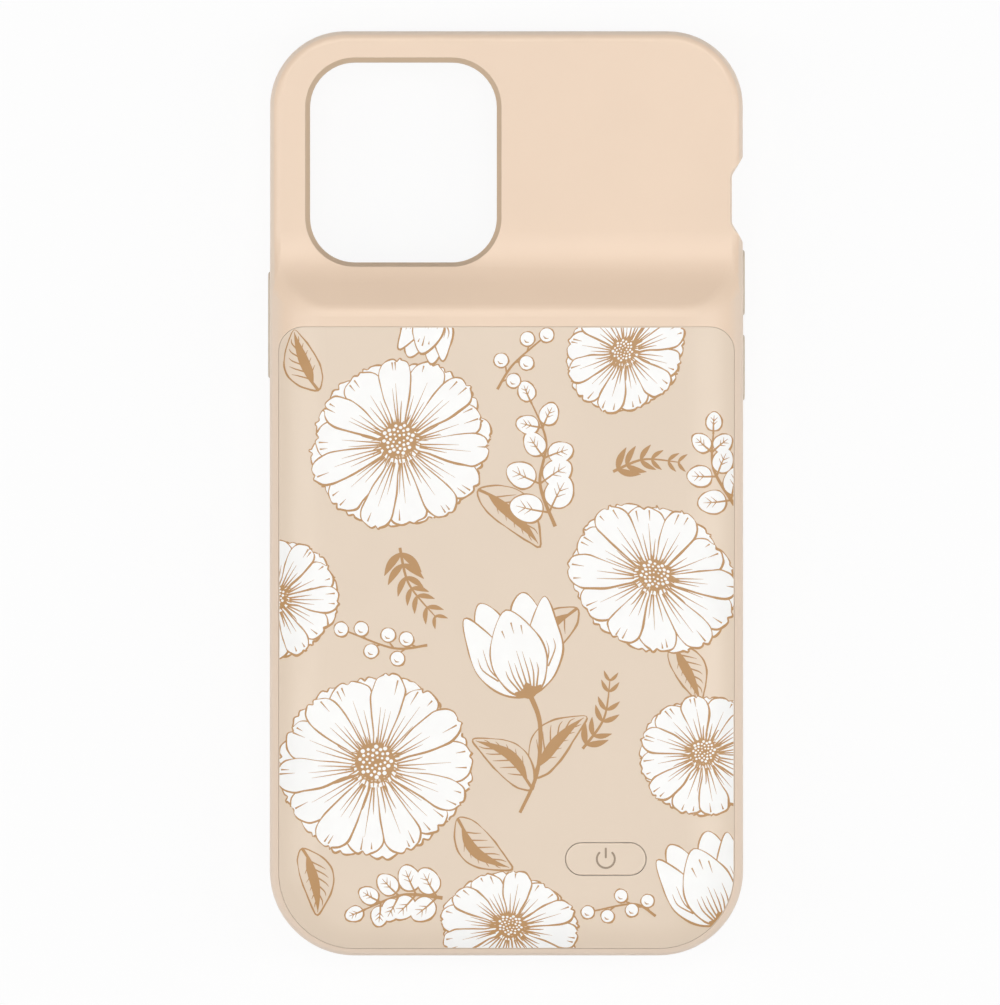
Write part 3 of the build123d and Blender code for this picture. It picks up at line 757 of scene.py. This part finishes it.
# Tulips: foot of the cup, size, turn and points of the stem
TULIPS = (
    ((3.8, -33.0), 16.5, 0.3, ((5.5, -38.0), (5.0, -46.0), (2.2, -52.5))),
    ((35.5, -70.5), 15.0, 0.4, ((37.5, -76.0), (37.0, -80.0))),
    ((-12.0, 30.5), 9.0, 2.9, ()),
)
GARDEN = (
    (long_leaf, LEAVES),
    (round_sprig, SPRIGS),
    (frond, FRONDS),
    (berries, SPRAYS),
    (daisy, DAISIES),
    (tulip, TULIPS),
)


def garden(seed, line):
    """The whole print."""
    sheet = InkSheet(seed, line)
    for draw, places in GARDEN:
        for place in places:
            draw(sheet, *place)
    return sheet


# Straight steps in each corner of a box
CORNER_STEPS = 16


def rounded_box(left, bottom, right, top, low_radius, high_radius):
    """Outline of a box with rounded corners, anticlockwise."""
    corners = (
        (right - low_radius, bottom + low_radius, low_radius),
        (right - high_radius, top - high_radius, high_radius),
        (left + high_radius, top - high_radius, high_radius),
        (left + low_radius, bottom + low_radius, low_radius),
    )
    quarters = [0.25 * k / CORNER_STEPS for k in range(CORNER_STEPS + 1)]
    return [
        polar((x, y), radius, math.tau * (corner / 4 + quarter))
        for corner, (x, y, radius) in enumerate(corners, -1)
        for quarter in quarters
    ]


INKS = ("white", "tan")
# Distances in millimetres within which points of the print join, and the angle up to which faces do
JOIN_SHAPES = 1e-4
JOIN_CUTS = 1e-5
JOIN_FACES = math.radians(0.5)


def flatten(shapes, inside, outside=()):
    """Cuts stacked shapes into one flat layer: the cells of each motif that show, with their inks."""
    stacked = sorted(shapes, key=lambda shape: shape[:2])
    points, faces = [], []
    for outline in (*(shape[3] for shape in stacked), inside, *outside):
        ordered = outline if area(outline) > 0 else outline[::-1]
        faces.append(list(range(len(points), len(points) + len(ordered))))
        points += [Vector(point) for point in ordered]
    spots, _, cells, _, _, owners = delaunay_2d_cdt(points, [], faces, 0, JOIN_SHAPES)
    sheet = len(stacked)
    layer = {}
    for cell, owner in zip(cells, owners):
        shown = [index for index in owner if index < sheet]
        if not shown or sheet not in owner or max(owner) > sheet:
            continue
        motif, _, colour, _ = stacked[max(shown)]
        if colour in INKS:
            layer.setdefault(motif, []).append((cell, INKS.index(colour)))
    if not layer:
        raise ValueError("no ink lies inside the edge")
    return spots, layer


def flat_film(spots, cells, cuts):
    """Flat film of a motif's cells, cut across where the surface below bends."""
    film = bmesh.new()
    corner = {}
    for cell, slot in cells:
        for i in cell:
            if i not in corner:
                corner[i] = film.verts.new((*spots[i], 0))
        film.faces.new([corner[i] for i in cell]).material_index = slot
    bmesh.ops.dissolve_limit(
        film,
        angle_limit=JOIN_FACES,
        use_dissolve_boundaries=False,
        verts=film.verts,
        edges=film.edges,
        delimit={"MATERIAL"},
    )
    bmesh.ops.triangulate(film, faces=film.faces)
    for axis, at in cuts:
        if min(v.co[axis] for v in film.verts) < at < max(v.co[axis] for v in film.verts):
            where, facing = Vector(), Vector()
            where[axis], facing[axis] = at, 1.0
            geometry = [*film.verts, *film.edges, *film.faces]
            bmesh.ops.bisect_plane(film, geom=geometry, dist=JOIN_CUTS, plane_co=where, plane_no=facing)
    bmesh.ops.triangulate(film, faces=film.faces)
    for vert in [v for v in film.verts if sum(e.is_boundary for e in v.link_edges) > 2]:
        bmesh.utils.vert_separate(vert, [])
    film.verts.index_update()
    return film


def add_mesh(name, points, faces):
    """Adds a mesh object to the scene."""
    mesh = bpy.data.meshes.new(name)
    mesh.from_pydata(points, [], faces)
    piece = bpy.data.objects.new(name, mesh)
    bpy.context.scene.collection.objects.link(piece)
    return piece


def ink_piece(name, film, surface, design, inks):
    """Closed slab of ink from a film, on a surface that gives height and normal in millimetres."""
    count = len(film.verts)
    spots = [tuple(v.co.xy) for v in film.verts]
    grounds = [surface(*spot) for spot in spots]
    levels = (design.lift / MM, -design.root / MM)
    places = [(x, y, z + level) for level in levels for (x, y), (z, _) in zip(spots, grounds)]
    faces, slots, normals = [], [], []
    for face in film.faces:
        if face.normal.z < 0:
            face.normal_flip()
        top = [v.index for v in face.verts]
        faces += [top, [i + count for i in reversed(top)]]
        normals += [grounds[i][1] for i in top] + [(0, 0, -1)] * len(top)
        slots += [face.material_index] * 2
        for loop in face.loops:
            if loop.edge.is_boundary:
                a, b = loop.vert.index, loop.link_loop_next.vert.index
                faces.append([a, a + count, b + count, b])
                dx, dy = spots[b][0] - spots[a][0], spots[b][1] - spots[a][1]
                length = math.hypot(dx, dy) or 1.0
                normals += [(dy / length, -dx / length, 0)] * 4
                slots.append(face.material_index)
    film.free()
    piece = add_mesh(name, [[c * MM for c in place] for place in places], faces)
    piece.data.polygons.foreach_set("material_index", slots)
    piece.data.normals_split_custom_set(normals)
    for finish in inks:
        piece.data.materials.append(finish.material)
    return piece


def plastic(name, colour, roughness, grain=0.15 * MM):
    """Moulded technical plastic with a fine matt grain."""
    drift, sheen = (0.02, 6 * MM), (0.06, 1.5 * MM)
    finish = Finish(name, colour, roughness, drift, sheen, Specular_IOR_Level=0.45)
    finish.bump(finish.noise(grain, 2.0, 0.6), 0.008 * MM)
    return finish


def metal(name, colour, roughness, stretch=(1, 12, 1)):
    """Drawn or plated metal with fine lines along it."""
    finish = Finish(name, colour, roughness, (0.06, 2 * MM), Metallic=1.0)
    lines = finish.noise(0.35 * MM, 3.0, 0.6, stretch)
    finish.uneven(roughness, 0.08, lines)
    finish.bump(lines, 0.004 * MM)
    return finish


def circuit(name):
    """Green solder mask over copper tracks and tinned holes."""
    mask, raised, tin = (0.02, 0.12, 0.06), (0.035, 0.2, 0.095), (0.62, 0.6, 0.54)
    finish = Finish(name, mask, 0.34, Specular_IOR_Level=0.5, Coat_Weight=0.25, Coat_Roughness=0.2)
    _, field = finish.cells(5 * MM, "CHEBYCHEV")
    bands = []
    for axis, test, limit in ((0, "LESS_THAN", 0.4), (1, "GREATER_THAN", 0.62)):
        band = finish.stripes(axis, pitch=0.5 * MM, share=0.45)
        bands.append(finish.math("MULTIPLY", band, finish.math(test, field, limit)))
    tracks = finish.math("ADD", *bands, clamp=True)
    away, chosen = finish.cells(1.6 * MM)
    near, few = finish.math("LESS_THAN", away, 0.16), finish.math("LESS_THAN", chosen, 0.3)
    holes = finish.math("MULTIPLY", near, few)
    green = finish.mix(tracks, finish.tone(mask, 0.15, 6 * MM), raised)
    finish.colour(finish.mix(holes, green, tin))
    finish.bump(finish.math("ADD", tracks, holes, clamp=True), 0.02 * MM)
    return finish


def ink(name, colour, roughness):
    """Screen-printed ink: a little uneven in cover and gloss."""
    drift, sheen = (0.015, 3 * MM), (0.04, 2 * MM, 3.0)
    finish = Finish(name, colour, roughness, drift, sheen, Specular_IOR_Level=0.4)
    finish.bump(finish.noise(0.22 * MM, 2.0, 0.6), 0.004 * MM)
    return finish


class OBJECT_OT_case_shell(bpy.types.Operator):
    """Gives the moulded frame its satin finish, with painted reflection as a paler, greyer colour on
    its upright faces and painted shade as a darker tint on the bevel of the camera opening
    """

    bl_idname = "object.case_shell"
    bl_label = "Finish the frame"

    def execute(self, context):
        finishes = context.scene.case_finishes
        finish = satin("shell_satin", finishes.shell, finishes)
        corner = finishes.camera_corner
        reach = []
        for index in (0, 1):
            offset = finish.math("SUBTRACT", finish.axis(index), finishes.camera_place[index])
            half = finishes.camera_size[index] / 2 - corner
            reach.append(finish.math("SUBTRACT", finish.math("ABSOLUTE", offset), half))
        squares = [finish.math("POWER", finish.math("MAXIMUM", r, 0.0), 2.0) for r in reach]
        outside = finish.math("SQRT", finish.math("ADD", *squares))
        inside = finish.math("MINIMUM", finish.math("MAXIMUM", *reach), 0.0)
        away = finish.math("SUBTRACT", finish.math("ADD", outside, inside), corner)
        # Mask of the camera bevel, which takes the darker colour as painted shade
        near = finish.spread(away, 1.0, 0.0, (finishes.bevel_width * 0.9, finishes.bevel_width))
        # Upright faces take the paler, greyer wall colour as painted reflection
        upright = finish.steep(upright=0.72, level=0.84)
        walls = finish.mix(upright, finish.base(), finishes.wall)
        finish.colour(finish.mix(near, walls, finishes.bevel))
        wear(["case_frame"], finish)
        return {"FINISHED"}


class OBJECT_OT_case_cover(bpy.types.Operator):
    """Gives the hump cover its satin finish, with painted light on its upright cut edges"""

    bl_idname = "object.case_cover"
    bl_label = "Finish the cover"

    def execute(self, context):
        finishes = context.scene.case_finishes
        wear(["battery_cover"], satin_lit_edges("cover_satin", finishes))
        return {"FINISHED"}


def crown(design, level):
    """Height and normal of the hump over a spot, in millimetres."""
    run, drop = design.crown_run / MM, design.crown_drop / MM
    side, end, corner = design.crown_side / MM, design.crown_end / MM, design.crown_corner / MM
    radius = (run**2 + drop**2) / (2 * drop)

    def surface(x, y):
        over, past = max(abs(x) - (side - corner), 0.0), max(end + corner - y, 0.0)
        slant = math.hypot(over, past)
        fall = slant - corner
        if fall <= 0:
            return level, (0.0, 0.0, 1.0)
        rise = math.sqrt(radius**2 - fall**2)
        aside, back = math.copysign(over / slant, x), -past / slant
        return level - radius + rise, (aside * fall / radius, back * fall / radius, rise / radius)

    return surface


# Distance in millimetres between the cuts that let the ink follow the crown
CROWN_STEP = 0.8


def crown_cuts(design, half_width):
    """Cuts across the curved border of the hump: their axes and places, in millimetres."""
    side, end, corner = design.crown_side / MM, design.crown_end / MM, design.crown_corner / MM
    count = math.ceil((half_width - side + corner) / CROWN_STEP)
    steps = [k * CROWN_STEP - corner for k in range(count + 1)]
    cuts = [(0, sign * (side + step)) for step in steps for sign in (-1, 1)]
    return cuts + [(1, end - step) for step in steps]


class OBJECT_OT_case_print(bpy.types.Operator):
    """Lays the flower print on the cover as thin films of white and tan ink"""

    bl_idname = "object.case_print"
    bl_label = "Print the cover"

    def execute(self, context):
        design = context.scene.case_print
        finishes = context.scene.case_finishes
        low, high = ([c / MM for c in corner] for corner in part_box("battery_cover"))
        margin = design.edge_margin / MM
        corners = (vert.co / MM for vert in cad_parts["battery_cover"].data.vertices)
        top_edge = max(place.y for place in corners if place.z > high[2] - margin)
        cover_edge = rounded_box(
            low[0] + margin,
            low[1] + margin,
            high[0] - margin,
            top_edge - margin,
            design.corner_bottom / MM - margin,
            design.corner_top / MM - margin,
        )
        x, y = (c / MM for c in finishes.button_place)
        wide, tall = (c / MM / 2 + design.button_margin / MM for c in finishes.button_size)
        button_edge = rounded_box(x - wide, y - tall, x + wide, y + tall, tall, tall)
        sheet = garden(design.seed, design.line / MM)
        spots, layer = flatten(sheet.shapes, cover_edge, [button_edge])
        cuts = crown_cuts(design, high[0])
        inks = [ink("white_ink", design.white, 0.5), ink("tan_ink", design.tan, 0.45)]
        surface = crown(design, high[2])
        for motif, cells in sorted(layer.items()):
            film = flat_film(spots, cells, cuts)
            piece = ink_piece(sheet.motifs[motif], film, surface, design, inks)
            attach(piece, "case")
        return {"FINISHED"}


# Power symbol: half the opening of its ring, and start and length of its bar in ring radii
SYMBOL_GAP = math.radians(46)
SYMBOL_STEPS = 40
BAR_START, BAR_LENGTH, BAR_STEPS = 0.19, 0.97, 4


class OBJECT_OT_case_button(bpy.types.Operator):
    """Finishes the power button and prints its power symbol"""

    bl_idname = "object.case_button"
    bl_label = "Finish the power button"

    def execute(self, context):
        design = context.scene.case_print
        finishes = context.scene.case_finishes
        # The button's satin has the same painted light on its upright cut edges
        wear(["power_button"], satin_lit_edges("button_satin", finishes))
        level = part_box("power_button")[1][2] / MM
        x, y = (c / MM for c in finishes.button_place)
        ring, stroke = design.symbol_ring / MM, design.symbol_stroke / MM
        start, sweep = math.pi / 2 + SYMBOL_GAP, math.tau - 2 * SYMBOL_GAP
        arc = [polar((x, y), ring, start + sweep * k / SYMBOL_STEPS) for k in range(SYMBOL_STEPS + 1)]
        heights = [BAR_START + BAR_LENGTH * k / BAR_STEPS for k in range(BAR_STEPS + 1)]
        bar = [(x, y + ring * height) for height in heights]
        shapes = [(0, 0, "white", capped(line, stroke)) for line in (arc, bar)]
        spots, layer = flatten(shapes, disc((x, y), 2 * ring, 24))
        inks = [ink("symbol_ink", design.symbol, 0.5)]

        def flat(_x, _y):
            return level, (0.0, 0.0, 1.0)

        symbol = ink_piece("power_symbol", flat_film(spots, layer[0], []), flat, design, inks)
        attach(symbol, "power_button")
        return {"FINISHED"}


class OBJECT_OT_case_keys(bpy.types.Operator):
    """Gives the three side keys their finish"""

    bl_idname = "object.case_keys"
    bl_label = "Finish the side keys"

    def execute(self, context):
        finishes = context.scene.case_finishes
        keys = ["volume_up_key", "volume_down_key", "side_key"]
        wear(keys, satin("key_satin", finishes.keys, finishes))
        return {"FINISHED"}


class OBJECT_OT_case_battery(bpy.types.Operator):
    """Finishes the inner plate, the cell and what is joined to it"""

    bl_idname = "object.case_battery"
    bl_label = "Finish the battery"

    def execute(self, context):
        wear(["inner_plate"], plastic("plate_plastic", paint(230, 216, 200), 0.55))
        drift, sheen = (0.05, 8 * MM), (0.08, 2 * MM, 4.0)
        foil = Finish("cell_foil", (0.62, 0.63, 0.64), 0.34, drift, sheen, Metallic=0.9)
        wrinkles = foil.bump(foil.noise(9 * MM, 2.0, 0.5, (1, 0.5, 1)), 0.03 * MM)
        foil.bump(foil.noise(0.4 * MM, 2.0), 0.006 * MM, wrinkles)
        wear(["battery_cell"], foil)
        tape = Finish("pad_tape", (0.86, 0.86, 0.83), 0.7, Specular_IOR_Level=0.3)
        fibres = tape.noise(0.6 * MM, 4.0, 0.7, (1, 6, 1))
        tape.colour(tape.mix(tape.spread(fibres, 0.0, 1.0), (0.78, 0.78, 0.75), (0.9, 0.9, 0.88)))
        tape.bump(fibres, 0.02 * MM)
        wear(["cell_tape"], tape)
        wear(["cell_tabs"], metal("tab_nickel", (0.72, 0.7, 0.66), 0.32))
        wear(["protection_board"], circuit("cell_board_mask"))
        for name, colour in (("red_lead", (0.5, 0.025, 0.02)), ("black_lead", (0.025, 0.025, 0.028))):
            wear([name], plastic(f"{name}_silicone", colour, 0.42, 0.3 * MM))
        return {"FINISHED"}


class OBJECT_OT_case_board(bpy.types.Operator):
    """Finishes the main board and what is fixed to it"""

    bl_idname = "object.case_board"
    bl_label = "Finish the main board"

    def execute(self, context):
        wear(["main_board"], circuit("main_board_mask"))
        wear(["board_screws"], metal("screw_steel", (0.6, 0.6, 0.62), 0.3, (1, 1, 8)))
        wear(["board_chips"], plastic("chip_epoxy", (0.022, 0.022, 0.024), 0.5, 0.08 * MM))
        ferrite = plastic("inductor_ferrite", (0.06, 0.058, 0.056), 0.62, 0.25 * MM)
        wear(["power_inductor"], ferrite)
        wear(["switch_body"], metal("switch_can", (0.66, 0.66, 0.67), 0.36))
        wear(["switch_plunger"], plastic("plunger_plastic", (0.03, 0.03, 0.03), 0.45))
        return {"FINISHED"}


class OBJECT_OT_case_plug(bpy.types.Operator):
    """Finishes the plug in the pocket and its flat cable"""

    bl_idname = "object.case_plug"
    bl_label = "Finish the plug"

    def execute(self, context):
        wear(["plug_tongue"], metal("plug_steel", (0.7, 0.7, 0.71), 0.28, (12, 1, 1)))
        wear(["plug_contacts"], metal("contact_gold", (0.86, 0.62, 0.25), 0.22))
        wear(["plug_base"], plastic("plug_base_plastic", (0.03, 0.03, 0.03), 0.5))
        film = Finish("flex_film", (0.5, 0.24, 0.05), 0.3, Coat_Weight=0.3, Coat_Roughness=0.15)
        lines = film.stripes(0, pitch=0.6 * MM, share=0.55)
        film.colour(film.mix(lines, film.tone((0.42, 0.19, 0.04), 0.1, 2 * MM), (0.62, 0.31, 0.08)))
        film.bump(lines, 0.015 * MM)
        wear(["plug_flex"], film)
        return {"FINISHED"}


class OBJECT_OT_case_socket(bpy.types.Operator):
    """Finishes the charging socket and the charge lights in the bottom wall"""

    bl_idname = "object.case_socket"
    bl_label = "Finish the socket and lights"

    def execute(self, context):
        wear(["charging_socket"], metal("socket_steel", (0.66, 0.66, 0.67), 0.34, (10, 1, 1)))
        wear(["socket_tongue"], plastic("socket_tongue_plastic", (0.03, 0.03, 0.03), 0.45))
        yellow, drift = (0.88, 0.84, 0.55), (0.08, 0.4 * MM)
        lamp = Finish("lamp_phosphor", yellow, 0.35, drift, Coat_Weight=0.6, Coat_Roughness=0.1)
        lamp.bump(lamp.noise(0.3 * MM), 0.01 * MM)
        wear(["status_lamps"], lamp)
        clear, sheen = (0.95, 0.94, 0.92), (0.06, 0.5 * MM)
        pin = Finish("pin_clear", clear, 0.22, sheen=sheen, Transmission_Weight=0.75, IOR=1.49)
        pin.bump(pin.noise(0.2 * MM, 3.0), 0.006 * MM)
        wear(["light_pins"], pin)
        return {"FINISHED"}


def show_white(nodes, plain, white, part=1.0):
    """Shader that is white to camera, glossy and transmission rays and plain to all others."""
    path = nodes.add("ShaderNodeLightPath")
    seen = path.outputs["Is Camera Ray"]
    for kind in ("Is Glossy Ray", "Is Transmission Ray"):
        seen = nodes.math("MAXIMUM", seen, path.outputs[kind])
    both = nodes.add("ShaderNodeMixShader")
    nodes.feed(both, _0=nodes.math("MULTIPLY", seen, part), _1=plain.outputs[0], _2=white.outputs[0])
    return both.outputs[0]


# Colour with which the floor lights the case from below
FLOOR_GREY = (0.9, 0.9, 0.9, 1)


def make_floor(stage):
    """Pale floor that looks white but keeps a share of the case's shadow."""
    half = stage.floor_size / 2
    corners = [(-half, -half, 0), (half, -half, 0), (half, half, 0), (-half, half, 0)]
    floor = add_mesh("floor", corners, [(0, 1, 2, 3)])
    material = bpy.data.materials.new("floor_white")
    material.use_nodes = True
    nodes = Nodes(material.node_tree)
    nodes.tree.nodes.clear()
    plain = nodes.feed(nodes.add("ShaderNodeBsdfDiffuse"), Color=FLOOR_GREY)
    shown = show_white(nodes, plain, nodes.add("ShaderNodeEmission"), 1 - stage.floor_shade)
    nodes.feed(nodes.add("ShaderNodeOutputMaterial"), Surface=shown)
    floor.data.materials.append(material)


def make_sky(stage):
    """Even light from all round, with a white background."""
    world = bpy.data.worlds.new("studio_sky")
    bpy.context.scene.world = world
    world.use_nodes = True
    nodes = Nodes(world.node_tree)
    nodes.tree.nodes.clear()
    plain, white = (
        nodes.feed(nodes.add("ShaderNodeBackground"), Color=(1, 1, 1, 1), Strength=strength)
        for strength in (stage.sky, 1.0)
    )
    nodes.feed(nodes.add("ShaderNodeOutputWorld"), Surface=show_white(nodes, plain, white))


# Widths and lengths of the lamps, in metres
SQUARE_BOX = (0.8, 0.8)
TALL_BOX = (0.3, 0.8)
WIDE_BOX = (0.8, 0.4)
WIDE_STRIP = (0.8, 0.45)


def make_lamp(name, place, size, power, fill=True, mirrored=True):
    """Lamp that faces the case: fill lights the colours, and mirrored shows in the gloss."""
    light = bpy.data.lights.new(name, "AREA")
    light.shape = "RECTANGLE"
    light.size, light.size_y = size
    light.energy = power
    lamp = bpy.data.objects.new(name, light)
    lamp.location = place
    lamp.rotation_euler = (-Vector(place)).to_track_quat("-Z", "Y").to_euler()
    lamp.visible_camera = False
    lamp.visible_diffuse = fill
    lamp.visible_glossy = mirrored
    bpy.context.scene.collection.objects.link(lamp)


class SCENE_OT_case_stage(bpy.types.Operator):
    """Sets up the floor, the even sky, the softboxes and the camera"""

    bl_idname = "scene.case_stage"
    bl_label = "Set the stage"

    def execute(self, context):
        scene = context.scene
        stage = scene.case_stage
        make_floor(stage)
        make_sky(stage)
        side, side_height = stage.side_place
        low, low_height = stage.low_place
        strip, strip_height = stage.strip_place
        flank, flank_height = stage.flank_place
        above = (0, 0, stage.overhead_height)
        make_lamp("softbox_overhead", above, SQUARE_BOX, stage.overhead_power, mirrored=False)
        for name, way in (("left", -1), ("right", 1)):
            beside = (way * side, 0, side_height)
            make_lamp(f"softbox_{name}", beside, TALL_BOX, stage.side_power, mirrored=False)
        make_lamp("softbox_low", (0, -low, low_height), WIDE_BOX, stage.low_power)
        make_lamp("strip_top", (0, strip, strip_height), WIDE_STRIP, stage.strip_power, fill=False)
        for name, way in (("left", -1), ("right", 1)):
            beside = (way * flank, 0, flank_height)
            make_lamp(f"strip_{name}", beside, TALL_BOX, stage.flank_power, fill=False)
        data = bpy.data.cameras.new("camera")
        data.lens = stage.lens
        distance = stage.frame_height * stage.lens / data.sensor_width
        camera = bpy.data.objects.new("camera", data)
        camera.location = (*stage.aim, stage.frame_level + distance)
        scene.collection.objects.link(camera)
        scene.camera = camera
        scene.view_settings.view_transform = "Standard"
        return {"FINISHED"}


class VIEW3D_PT_case(bpy.types.Panel):
    """Sizes, colours and steps of the charging case"""

    bl_label = "Charging case"
    bl_idname = "VIEW3D_PT_case"
    bl_space_type = "VIEW_3D"
    bl_region_type = "UI"
    bl_category = "Charging case"

    def draw(self, context):
        layout = self.layout
        for group in GROUPS:
            settings = getattr(context.scene, group)
            for name in settings.bl_rna.properties.keys():
                if name not in ("rna_type", "name"):
                    layout.prop(settings, name)
        for step in STEPS:
            layout.operator(step.bl_idname)


GROUPS = {"case_finishes": CaseFinishes, "case_print": BackPrint, "case_stage": StudioStage}
STEPS = (
    OBJECT_OT_case_shell,
    OBJECT_OT_case_cover,
    OBJECT_OT_case_print,
    OBJECT_OT_case_button,
    OBJECT_OT_case_keys,
    OBJECT_OT_case_battery,
    OBJECT_OT_case_board,
    OBJECT_OT_case_plug,
    OBJECT_OT_case_socket,
    SCENE_OT_case_stage,
)


def register():
    for kind in (*GROUPS.values(), *STEPS, VIEW3D_PT_case):
        bpy.utils.register_class(kind)
    for name, kind in GROUPS.items():
        setattr(bpy.types.Scene, name, PointerProperty(type=kind))


def unregister():
    for name in GROUPS:
        delattr(bpy.types.Scene, name)
    for kind in reversed((*GROUPS.values(), *STEPS, VIEW3D_PT_case)):
        bpy.utils.unregister_class(kind)


def main():
    register()
    for step in STEPS:
        group, name = step.bl_idname.split(".")
        getattr(getattr(bpy.ops, group), name)()


if __name__ == "__main__":
    main()
